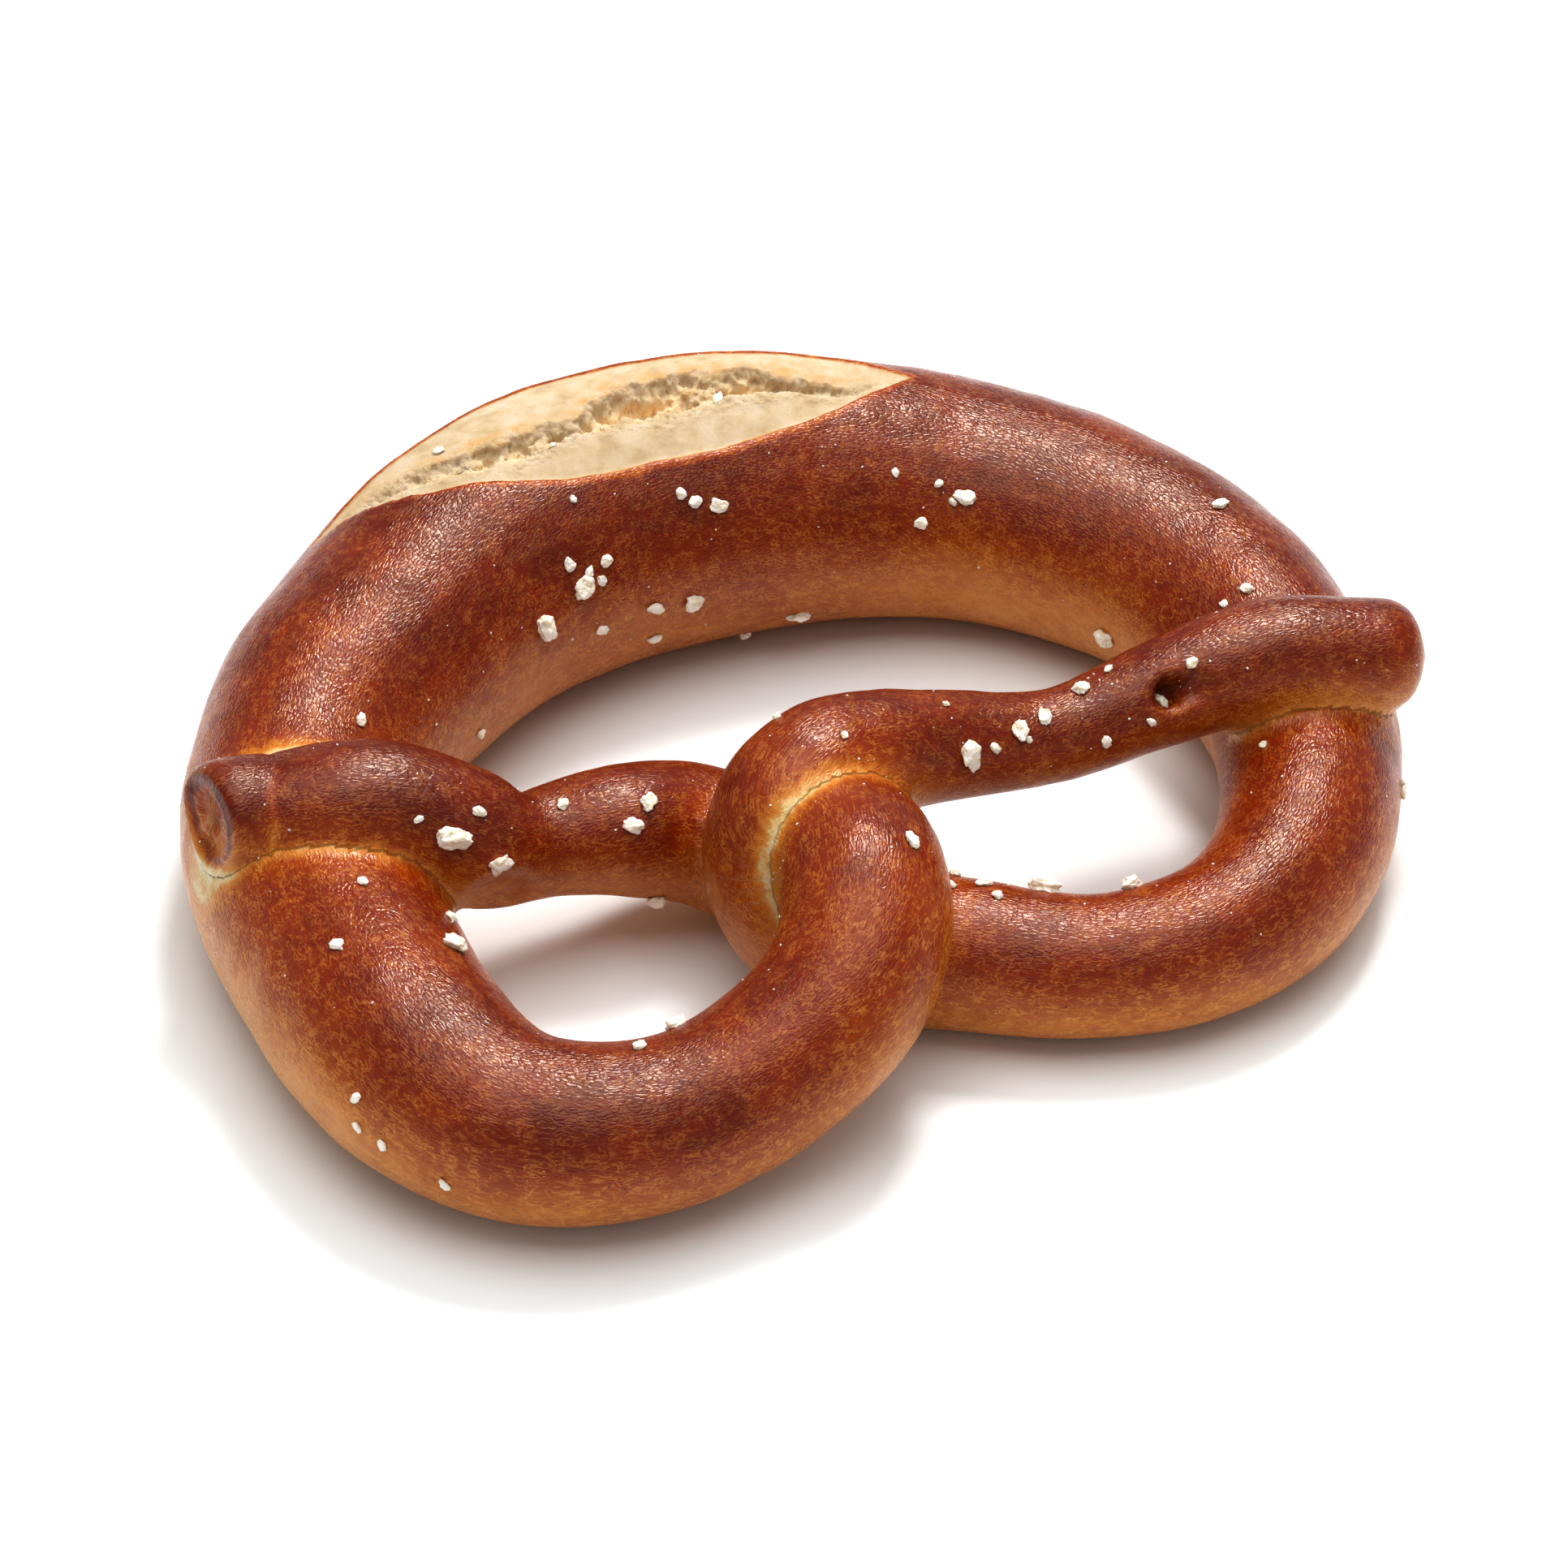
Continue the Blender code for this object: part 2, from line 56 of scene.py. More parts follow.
# The dough rope, as the part has it: x, y, height of its middle and half its thickness.
doughRope = {
    "leftEnd": [
        (-74.8, -10.6, 26.6, 6.9), (-71.0, -9.3, 25.9, 7.3), (-66.0, -9.3, 25.0, 7.9),
        (-57.5, -10.2, 24.8, 8.9), (-49.5, -11.1, 23.7, 8.0), (-42.5, -13.0, 19.5, 8.3),
    ],
    "leftArm": [
        (-37.0, -12.0, 17.0, 7.0), (-30.0, -10.8, 16.2, 7.5), (-23.0, -10.0, 15.2, 8.4),
        (-15.0, -9.0, 12.2, 8.8),
    ],
    "underAndOver": [
        (-8.0, -12.0, 10.0, 9.2), (-2.5, -18.0, 12.0, 9.7), (0.0, -26.0, 20.0, 10.0),
        (0.0, -34.0, 24.0, 10.2), (-1.5, -42.5, 22.0, 10.4), (-6.5, -49.3, 18.0, 10.2),
    ],
    "leftLobe": [
        (-15.5, -53.9, 14.0, 10.0), (-26.0, -57.2, 11.5, 10.2), (-37.0, -58.0, 11.3, 10.7),
        (-46.5, -54.5, 11.6, 11.4), (-53.3, -46.5, 12.2, 12.6), (-58.4, -34.5, 12.6, 13.7),
        (-61.9, -18.0, 12.6, 14.2), (-63.4, -4.5, 12.8, 14.4), (-61.5, 8.0, 13.5, 14.3),
    ],
    "back": [
        (-55.0, 20.1, 14.7, 15.8), (-45.4, 30.6, 15.7, 17.2), (-35.3, 39.9, 16.9, 18.3),
        (-23.3, 46.9, 17.5, 19.1), (-10.0, 50.4, 17.5, 19.1), (4.0, 51.3, 17.3, 18.5),
        (20.0, 49.9, 16.3, 17.0), (35.0, 45.3, 14.9, 15.8), (46.5, 37.8, 14.0, 15.1),
        (56.5, 27.0, 13.2, 14.2),
    ],
    "rightLobe": [
        (63.0, 11.0, 12.4, 13.1), (64.1, -6.0, 11.6, 12.0), (61.3, -18.4, 11.3, 11.4),
        (56.0, -29.0, 10.7, 10.6), (48.2, -36.4, 10.1, 9.8), (38.5, -40.1, 9.6, 9.2),
        (27.5, -40.0, 9.2, 8.9), (18.5, -37.1, 9.1, 9.1), (10.0, -33.6, 9.3, 9.5),
    ],
    "underAndRound": [
        (2.5, -31.0, 9.6, 9.8), (-3.5, -28.0, 12.0, 9.8), (-7.5, -24.5, 17.5, 9.7),
        (-5.5, -20.5, 24.0, 9.4), (1.0, -16.5, 26.0, 8.7),
    ],
    "rightArm": [
        (10.0, -14.0, 25.0, 7.4), (19.5, -12.5, 23.0, 6.6), (30.0, -11.7, 22.0, 5.9),
        (38.5, -9.9, 23.0, 6.3),
    ],
    "rightEnd": [
        (47.3, -8.5, 24.5, 7.0), (57.0, -7.2, 25.4, 7.6), (66.0, -7.8, 25.2, 7.6),
        (77.6, -9.0, 24.6, 7.0),
    ],
    "backMiddle": (4.0, 51.3, 17.3),  # distances along the rope start here, towards the right end
    "tipRims": (1.8, 5.0),  # round rims of the flat left tip and of the blunt right tip
    "step": 1.0,  # between rings
    "corners": 48,  # of the round section
}

doughSurface = {
    "voxel": 0.98,  # grid on which the strands are fused
    "smoothing": 5,  # passes after it, which leave a tight crease between strands
    "strandLength": 32.0,  # what lies further along the rope than this counts as another strand
    "creaseWidth": 1.6,  # how far from another strand the faces are refined
    "creaseFrom": 6.0,  # height from which they are
    "creaseCuts": 1,
    "traySoftness": 1.0,  # height over which the underside bends flat
    "trayGrip": 0.15,  # how much of it is pressed flat for good
    "flatBelow": 0.2,  # in the end, what is lower than this lies on the tray
    "lumps": (16.0, 0.32),  # size and height of the uneven rolling by hand
    "ripples": (4.5, 0.08),  # smaller unevenness of the skin
    "lumpsFrom": (1.0, 6.0),  # heights between which both set in
}

# The split, row by row: distance along, its back and front edge, and the back edge, front edge and depth
# of the torn rift in it. "Across" is measured along the round section, from its top towards the middle.
splitRows = [
    (-55.5, -14.4, -14.4, -14.5, -14.4, 0.0),
    (-51.0, -13.6, -9.8, -12.6, -11.0, 0.5),
    (-46.5, -13.2, -3.2, -10.6, -6.6, 0.9),
    (-42.5, -12.9, 1.2, -8.2, -2.6, 1.4),
    (-38.0, -12.4, 4.9, -4.4, 1.8, 2.2),
    (-33.0, -11.6, 8.3, -2.0, 4.3, 2.6),
    (-27.5, -10.8, 10.5, -0.6, 4.6, 2.2),
    (-22.5, -10.2, 11.5, 0.4, 4.7, 3.0),
    (-17.5, -9.8, 11.7, -2.8, 5.0, 4.0),
    (-11.0, -9.5, 11.7, -3.6, 5.6, 4.3),
    (-5.0, -9.2, 11.1, -3.7, 4.2, 3.8),
    (1.5, -8.8, 9.4, -3.6, 2.6, 3.6),
    (8.0, -8.2, 6.9, -1.6, 2.2, 2.5),
    (13.0, -6.8, 3.9, -1.2, 2.2, 1.6),
    (17.5, -5.0, 0.3, -2.8, -1.6, 0.4),
    (21.5, -3.5, -3.5, -3.5, -3.5, 0.0),
]
splitRelief = {
    "halfAngle": 75.0,  # it reaches no further round the rope
    "fullWidth": 8.0,  # where it is narrower, its relief is lower
    "sink": 1.0,  # of the pale skin under the front crust
    "rise": 0.55,  # share of the width over which the skin comes up again at the back
    "lip": (0.34, 0.6, 1.1),  # the crust's curled back edge: height, how far outside the split, half width
    "step": 0.8,  # width of the step at the crust's edge
    "wobble": (7.0, 0.3),  # size and depth of the crust edge's waviness
    "ragged": (2.8, 1.4),  # the same for the rift's torn edges
    "raggedFrom": 3.0,  # where the rift is shallower, its edges are calmer
    "wall": 2.4,  # width of the steep back wall
    "floor": 0.3,  # share of the rift's width where it starts to rise to the front
    "crumbs": 2.5,  # how far in front of the rift the skin is crumbly
    "toastBand": (0.5, 1.7),  # how far behind the rift the toasted edge lies, and its half width
    "bridge": (-6.0, -0.6, 4.2, 2.6, 0.8),  # lump left in the rift: place, half sizes, share filled
    "tears": (2.4, 1.1),  # size and height of the torn crumb in the rift
    "crumble": (0.8, 0.24),  # finer crumb
    "pores": (1.3, 0.7, 0.45),  # spacing, depth and share of the spacing of the bubbles in it
    "margin": 1.2,  # how far outside the split the faces are refined
    "riftMargins": (0.6, 0.5),  # the same behind and in front of the rift
    "cuts": (1, 2),  # of each face in the split, and again in the rift
}

# Dents pressed into the crust: along, angle round, radius, depth.
crustDents = [
    (-277.0, 110.0, 5.5, 2.2),  # pinch under the left arm
    (-275.5, 108.0, 3.4, 0.9),
    (-275.0, -40.0, 4.5, 1.0),  # the same pinch from behind
    (253.6, 50.0, 2.7, 5.0),  # finger hole in the right arm
    (256.5, 54.0, 3.2, 1.6),
]

leftTip = {
    "dish": (3.2, 5.7, 1.3),  # radius of its floor, radius of its rim, and depth of the dried cut face
    "shift": (-0.9, -0.5),  # of the dish's middle, sideways and up
    "rim": (6.3, 1.2, 0.35),  # radius, half width and height of the rolled rim
    "bumps": (2.4, 0.7),
    "reach": (1.5, 4.5),  # distance behind the face over which this fades
    "neck": (8.0, 1.3, 0.25),  # distance from the tip, half width and depth of the fold behind it
}


def hexColour(code):  # sRGB hex to linear RGBA
    parts = [int(code[i:i + 2], 16) / 255 for i in (1, 3, 5)]
    return [c / 12.92 if c <= 0.04045 else ((c + 0.055) / 1.055) ** 2.4 for c in parts] + [1.0]


def ramp(value, start, end):  # 0 at start, 1 at end, smooth between
    share = np.clip((value - start) / (end - start), 0, 1)
    return share * share * (3 - 2 * share)


def bell(distance, radius):  # 1 in the middle, 0 at the radius
    share = np.clip(np.abs(distance) / radius, 0, 1)
    return (1 - share**2) ** 2


def smoothRoute(rows, step):  # natural cubic spline through the rows
    rows = np.array(rows, float)
    spans = np.linalg.norm(np.diff(rows[:, :3], axis=0), axis=1)
    knots = np.sqrt(spans)
    count = len(rows)
    system = np.eye(count)
    wanted = np.zeros_like(rows)
    for i in range(1, count - 1):
        before, after = knots[i - 1], knots[i]
        system[i, i - 1:i + 2] = before, 2 * (before + after), after
        wanted[i] = 6 * ((rows[i + 1] - rows[i]) / after - (rows[i] - rows[i - 1]) / before)
    bend = np.linalg.solve(system, wanted)
    read = []
    for i, knot in enumerate(knots):
        steps = max(2, math.ceil(spans[i] / step))
        past = (np.arange(steps) / steps)[:, None] * knot
        left = knot - past
        read.append(
            (bend[i] * left**3 + bend[i + 1] * past**3) / (6 * knot)
            + (rows[i] / knot - bend[i] * knot / 6) * left
            + (rows[i + 1] / knot - bend[i + 1] * knot / 6) * past
        )
    read.append(rows[-1:])
    return np.vstack(read)


def readRope(settings):  # middle line, half thickness, distance along, and the directions round it
    rows = []
    for name in ("leftEnd", "leftArm", "underAndOver", "leftLobe", "back", "rightLobe",
                 "underAndRound", "rightArm", "rightEnd"):
        rows += settings[name]
    read = smoothRoute(rows, settings["step"])
    middle = read[:, :3]
    along = np.concatenate([[0.0], np.cumsum(np.linalg.norm(np.diff(middle, axis=0), axis=1))])
    loss = 0.0
    for toTip, rim in zip((along, along[-1] - along), settings["tipRims"]):
        missing = np.clip(1 - toTip / rim, 0, 1)
        loss = loss + rim * (1 - np.sqrt(1 - missing**2))
    along = along - along[np.linalg.norm(middle - settings["backMiddle"], axis=1).argmin()]
    heading = np.gradient(middle, axis=0)
    heading /= np.linalg.norm(heading, axis=1)[:, None]
    up = np.array([0.0, 0.0, 1.0]) - heading * heading[:, 2:3]
    up /= np.linalg.norm(up, axis=1)[:, None]
    return {"middle": middle, "half": read[:, 3] - loss, "along": along,
            "heading": heading, "up": up, "side": np.cross(heading, up)}


def outward(rope, i, degrees):  # out of the rope at an angle round it, 0 is the top
    turn = math.radians(degrees)
    return rope["up"][i] * math.cos(turn) + rope["side"][i] * math.sin(turn)


def pointsOf(mesh):
    points = np.empty(len(mesh.vertices) * 3)
    mesh.vertices.foreach_get("co", points)
    return points.reshape(-1, 3) / mm


def movePoints(mesh, points):
    mesh.vertices.foreach_set("co", (points * mm).ravel())
    mesh.update()


def noiseAt(points, size, seed=0.0, octaves=3):  # about -1 to 1, at a size in mm
    shift = Vector((seed * 17.3, seed * 5.7, seed * 11.9))
    return np.array([noise.fractal(Vector(p / size) + shift, 1.0, 2.0, octaves) for p in points])


def tubeMesh(rope, corners):  # a bevelled curve whose points carry the thickness
    curve = bpy.data.curves.new("ropeCurve", "CURVE")
    curve.dimensions = "3D"
    curve.bevel_depth = mm
    curve.bevel_resolution = corners // 4 - 1
    curve.use_fill_caps = True
    line = curve.splines.new("POLY")
    line.points.add(len(rope["middle"]) - 1)
    for point, place, half in zip(line.points, rope["middle"], rope["half"]):
        point.co = (*(place * mm), 1.0)
        point.radius = half
    holder = bpy.data.objects.new("ropeCurve", curve)
    bpy.context.scene.collection.objects.link(holder)
    graph = bpy.context.evaluated_depsgraph_get()
    mesh = bpy.data.meshes.new_from_object(holder.evaluated_get(graph))
    bpy.data.objects.remove(holder, do_unlink=True)
    work = bmesh.new()
    work.from_mesh(mesh)
    bmesh.ops.remove_doubles(work, verts=work.verts, dist=1e-6)
    work.to_mesh(mesh)
    work.free()
    return mesh


def flattenOnTray(mesh, softness, grip):  # dough that would reach below the tray spreads on it
    points = pointsOf(mesh)
    low = points[:, 2] < softness
    below = points[low, 2] - softness
    points[low, 2] = np.maximum(softness * np.exp(below / softness) - grip, 0.0)
    movePoints(mesh, points)


def fuseStrands(dough, settings):
    remesh = dough.modifiers.new("fuse", "REMESH")
    remesh.mode = "VOXEL"
    remesh.voxel_size = settings["voxel"] * mm
    smooth = dough.modifiers.new("smooth", "SMOOTH")
    smooth.factor = 0.5
    smooth.iterations = settings["smoothing"]
    graph = bpy.context.evaluated_depsgraph_get()
    mesh = bpy.data.meshes.new_from_object(dough.evaluated_get(graph))
    dough.modifiers.clear()
    dough.data = mesh


def locate(rope, points):  # where points lie on the rope, and the gap to the nearest other strand
    nearest = np.empty(len(points), int)
    gap = np.empty(len(points))
    for start in range(0, len(points), 2000):
        part = slice(start, start + 2000)
        apart = np.linalg.norm(points[part, None] - rope["middle"][None], axis=2) - rope["half"][None]
        nearest[part] = apart.argmin(axis=1)
        apartAlong = np.abs(rope["along"][None] - rope["along"][nearest[part], None])
        sameStrand = apartAlong < doughSurface["strandLength"]
        gap[part] = np.where(sameStrand, 99.0, apart).min(axis=1)
    off = points - rope["middle"][nearest]
    ahead = (off * rope["heading"][nearest]).sum(axis=1)
    off -= rope["heading"][nearest] * ahead[:, None]
    side = (off * rope["side"][nearest]).sum(axis=1)
    up = (off * rope["up"][nearest]).sum(axis=1)
    along = rope["along"][nearest] + ahead
    turn = np.arctan2(side, up)
    return {
        "along": along,
        "angle": np.degrees(turn),
        "across": turn * np.interp(along, rope["along"], rope["half"]),
        "side": side,
        "up": up,
        "out": off / np.maximum(np.linalg.norm(off, axis=1), 1e-6)[:, None],
        "gap": gap,
    }


def readSplit(place, points):  # how far points lie inside the split and the rift, and the rift's depth
    rows = smoothRoute(splitRows, 0.5)
    back, front, riftBack, riftFront, depth = (
        np.interp(place["along"], rows[:, 0], rows[:, column]) for column in range(1, 6))
    near = (place["along"] > rows[0, 0]) & (place["along"] < rows[-1, 0])
    near &= np.abs(place["angle"]) < splitRelief["halfAngle"]
    waves = np.zeros((3, len(points)))
    size, height = splitRelief["wobble"]
    waves[0, near] = height * noiseAt(points[near], size, 3.0)
    size, height = splitRelief["ragged"]
    waves[1, near] = height * noiseAt(points[near], size, 4.0, 2)
    waves[2, near] = height * noiseAt(points[near], size, 7.0, 3)
    raggedness = np.clip(depth / splitRelief["raggedFrom"], 0.25, 1)
    across = place["across"]
    toFront = np.where(near, front - across + waves[0], -9.0)
    toBack = np.where(near, across - back, -9.0)
    return {
        "width": np.where(near, front - back, 0.0),
        "toFront": toFront,
        "toBack": toBack,
        "inside": np.minimum(toFront, toBack),
        "pastBack": across - riftBack + waves[1] * raggedness,
        "beforeFront": riftFront - across + waves[2] * raggedness,
        "depth": np.where(near, np.maximum(depth, 0), 0),
    }


def refine(mesh, chosen, cuts):  # smaller faces round the chosen points
    work = bmesh.new()
    work.from_mesh(mesh)
    work.verts.ensure_lookup_table()
    before = len(work.verts)
    faces = [f for f in work.faces if any(chosen[v.index] for v in f.verts)]
    edges = list({e for f in faces for e in f.edges})
    bmesh.ops.subdivide_edges(work, edges=edges, cuts=cuts, use_grid_fill=True)
    work.verts.ensure_lookup_table()
    work.verts.index_update()
    fine = [v for v in work.verts if v.index >= before or chosen[v.index]]
    for _ in range(2 + cuts):
        bmesh.ops.smooth_vert(
            work, verts=fine, factor=0.5, use_axis_x=True, use_axis_y=True, use_axis_z=True)
    work.to_mesh(mesh)
    work.free()


def refineDetails(mesh, rope):
    points = pointsOf(mesh)
    creases = locate(rope, points)["gap"] < doughSurface["creaseWidth"]
    creases &= points[:, 2] > doughSurface["creaseFrom"]
    refine(mesh, creases, doughSurface["creaseCuts"])
    behind, before = splitRelief["riftMargins"]
    for level, cuts in enumerate(splitRelief["cuts"]):
        points = pointsOf(mesh)
        place = locate(rope, points)
        split = readSplit(place, points)
        chosen = split["inside"] > -splitRelief["margin"]
        if level == 0:
            chosen |= place["along"] < rope["along"][0] + leftTip["reach"][1]
        else:
            chosen &= (split["pastBack"] > -behind) & (split["beforeFront"] > -before)
            chosen &= split["depth"] > 0.3
        refine(mesh, chosen, cuts)


def pressDents(points, rope, place, dents):
    for along, angle, radius, depth in dents:
        i = int(np.abs(rope["along"] - along).argmin())
        out = outward(rope, i, angle)
        spot = rope["middle"][i] + out * rope["half"][i]
        onStrand = np.abs(place["along"] - along) < 3 * radius
        reach = bell(np.linalg.norm(points - spot, axis=1), radius) * onStrand
        points -= out * (depth * reach)[:, None]


def shapeLeftTip(points, rope, place, settings):  # a dished, rolled cut face and the fold behind it
    behind = place["along"] - rope["along"][0]
    onFace = 1 - ramp(behind, *settings["reach"])
    moveSide, moveUp = settings["shift"]
    fromMiddle = np.hypot(place["side"] - moveSide, place["up"] - moveUp)
    floor, rim, depth = settings["dish"]
    inwards = depth * (1 - ramp(fromMiddle, floor, rim))
    radius, wide, height = settings["rim"]
    inwards -= height * bell(np.hypot(place["side"], place["up"]) - radius, wide)
    size, bump = settings["bumps"]
    near = onFace > 0
    inwards[near] += bump * noiseAt(points[near], size, 8.0) * (1 - ramp(fromMiddle[near], floor, rim))
    points += rope["heading"][0] * (inwards * onFace)[:, None]
    at, wide, fold = settings["neck"]
    points -= place["out"] * (fold * bell(behind - at, wide))[:, None]


def tearCrumb(points, place, split, settings):  # returns how deep, how toasted and how crumbly it is
    width = split["width"]
    strength = np.clip(width / settings["fullWidth"], 0, 1)
    backwards = ramp(split["toBack"], 0, settings["rise"] * width + 0.1)
    front = settings["sink"] * ramp(split["toFront"], 0, settings["step"]) * backwards
    height, outside, wide = settings["lip"]
    lip = height * bell(split["toBack"] + outside, wide)
    riftWidth = np.maximum(split["pastBack"] + split["beforeFront"], 0.5)
    share = split["pastBack"] / riftWidth
    profile = ramp(split["pastBack"], 0, settings["wall"]) * (1 - ramp(share, settings["floor"], 1.0))
    along, across, long, wide, filled = settings["bridge"]
    lump = bell(np.hypot((place["along"] - along) / long, (place["across"] - across) / wide), 1.0)
    torn = split["depth"] * profile * (1 - filled * lump) * ramp(split["inside"], 0, 1)
    crumbly = ramp(split["pastBack"], -0.5, 0.3)
    crumbly *= 1 - ramp(-split["beforeFront"], 0.0, settings["crumbs"])
    crumbly *= ramp(split["inside"], 0.3, 1.5) * np.clip(split["depth"], 0, 1)
    points += place["out"] * (strength * (lip - front) - torn)[:, None]
    behind, wide = settings["toastBand"]
    toast = bell(split["pastBack"] + behind, wide) * np.clip(split["depth"] / 2, 0, 1)
    toast = np.maximum(toast, lump * 0.8 * (split["depth"] > 1)) * ramp(split["inside"], 0, 1)
    return torn, toast, crumbly


def roughenCrumb(points, normals, torn, crumbly, settings):  # tears, crumble and pores on the torn faces
    rough = np.zeros(len(points))
    busy = np.where(crumbly > 0.02)[0]
    size, height = settings["tears"]
    rough[busy] = height * noiseAt(points[busy], size, 1.0, 4) * ramp(torn[busy], 0.2, 2.0)
    size, height = settings["crumble"]
    rough[busy] += height * noiseAt(points[busy], size, 2.0, 4) * crumbly[busy]
    size, depth, radius = settings["pores"]
    for i in busy[torn[busy] > 0.2]:
        distance = noise.voronoi(Vector(points[i] / size))[0][0]
        rough[i] -= depth * max(0.0, 1 - distance / radius) * min(1.0, torn[i] / 1.2)
    points += normals * rough[:, None]


def setPointValues(mesh, name, values):
    kind, slot = ("FLOAT_VECTOR", "vector") if values.ndim == 2 else ("FLOAT", "value")
    attribute = mesh.attributes.new(name, kind, "POINT")
    attribute.data.foreach_set(slot, values.astype(np.float32).ravel())


def normalsOf(mesh):
    normals = np.empty(len(mesh.vertices) * 3)
    mesh.vertices.foreach_get("normal", normals)
    return normals.reshape(-1, 3)


# How brown the crust baked: tops and thin arms most, sides less, folds least.
crustBake = {
    "side": 0.26,  # share at the underside
    "top": 0.48,  # added where the crust faces up
    "facing": (-0.30, 0.80),
    "high": 0.20,  # added towards the top of the pretzel
    "heights": (4.0, 30.0),
    # more or less brown here and there: along, half length, angle, half angle, shift
    "shifts": [
        (-98.0, 60.0, 0.0, 400.0, -0.08),
        (-125.0, 60.0, -90.0, 75.0, -0.28),
        (-165.0, 36.0, -80.0, 75.0, 0.26),
        (-205.0, 36.0, 0.0, 400.0, -0.14),
        (-100.0, 30.0, 0.0, 60.0, -0.08),
        (-290.0, 40.0, 0.0, 400.0, 0.04),
        (-30.0, 50.0, 0.0, 400.0, 0.04),
        (0.0, 26.0, 110.0, 50.0, 0.14),
        (55.0, 50.0, 100.0, 60.0, -0.20),
        (196.0, 30.0, 0.0, 400.0, -0.14),
        (150.0, 40.0, -80.0, 70.0, 0.08),
        (250.0, 45.0, 0.0, 400.0, 0.04),
    ],
    "nearFold": (6.0, 0.30),  # width, and how much less brown beside a fold
    "nearFoldFrom": (6.0, 14.0),  # heights between which that sets in
    "neckLess": 0.34,  # how much less brown in the fold behind the left tip
    "splitEdge": (0.4, 0.9, 0.42),  # how far outside the split, half width, and how much less brown
    # dark line round the left tip's cut face: radius, half width, how much browner
    "tipLine": (5.0, 0.9, 0.5),
    "everyFold": (0.12, 0.2, 1.5),  # how pale any fold is, and the gaps between which that fades
    "foldsFrom": (3.0, 9.0),  # heights between which folds turn pale
    # folds pulled open after the lye bath: along, half length, angle, half angle, how pale, width
    "paleFolds": [
        (-203.0, 30.0, 40.0, 110.0, 0.8, 2.4),
        (197.0, 24.0, -30.0, 150.0, 0.9, 3.4),
        (-101.0, 18.0, -78.0, 60.0, 1.0, 3.0),
        (-103.0, 10.0, -80.0, 32.0, 1.0, 9.0),
        (-312.0, 10.0, 165.0, 80.0, 0.9, 1.2),
        (-288.0, 24.0, 100.0, 60.0, 0.55, 1.6),
        (-111.0, 14.0, 5.0, 70.0, 0.6, 1.8),
        (-89.0, 15.0, -10.0, 75.0, 1.0, 4.4),
        (275.0, 22.0, 100.0, 60.0, 0.6, 1.8),
        (98.0, 20.0, 60.0, 70.0, 0.7, 3.0),
    ],
    "dishFace": (4.8, 6.2),  # inside this radius the left tip's cut face stays brown
    "inDish": 0.02,  # how much browner that face is
    "faceDepth": (1.0, 3.0),  # distance from the tip over which it ends
}


def bakeValues(points, normals, rope, place, split):  # brownness, and how pale the folds are
    bake = crustBake["side"] + crustBake["top"] * ramp(normals[:, 2], *crustBake["facing"])
    bake += crustBake["high"] * ramp(points[:, 2], *crustBake["heights"])
    for along, half, angle, halfAngle, shift in crustBake["shifts"]:
        turn = np.abs((place["angle"] - angle + 180) % 360 - 180)
        bake += shift * bell(place["along"] - along, half) * bell(turn, halfAngle)
    width, less = crustBake["nearFold"]
    bake -= less * (1 - ramp(place["gap"], 0, width)) * ramp(points[:, 2], *crustBake["nearFoldFrom"])
    neck, wide, _ = leftTip["neck"]
    behind = place["along"] - rope["along"][0]
    bake -= crustBake["neckLess"] * bell(behind - neck, wide) * ramp(place["angle"], -30, 60)
    share, start, end = crustBake["everyFold"]
    fold = share * (1 - ramp(place["gap"], start, end))
    for along, half, angle, halfAngle, share, width in crustBake["paleFolds"]:
        turn = np.abs((place["angle"] - angle + 180) % 360 - 180)
        reach = np.sqrt(bell(place["along"] - along, half) * bell(turn, halfAngle))
        fold = np.maximum(fold, share * reach * (1 - ramp(place["gap"], 0.1, 0.8 + width * reach)))
    outside, wide, less = crustBake["splitEdge"]
    bake -= less * bell(split["inside"] + outside, wide)
    fromMiddle = np.hypot(place["side"], place["up"])
    onFace = 1 - ramp(behind, *crustBake["faceDepth"])
    radius, wide, more = crustBake["tipLine"]
    bake += more * bell(fromMiddle - radius, wide) * onFace
    inDish = onFace * (1 - ramp(fromMiddle, *crustBake["dishFace"]))
    fold *= (1 - inDish) * ramp(points[:, 2], *crustBake["foldsFrom"])
    return bake + crustBake["inDish"] * inDish, fold


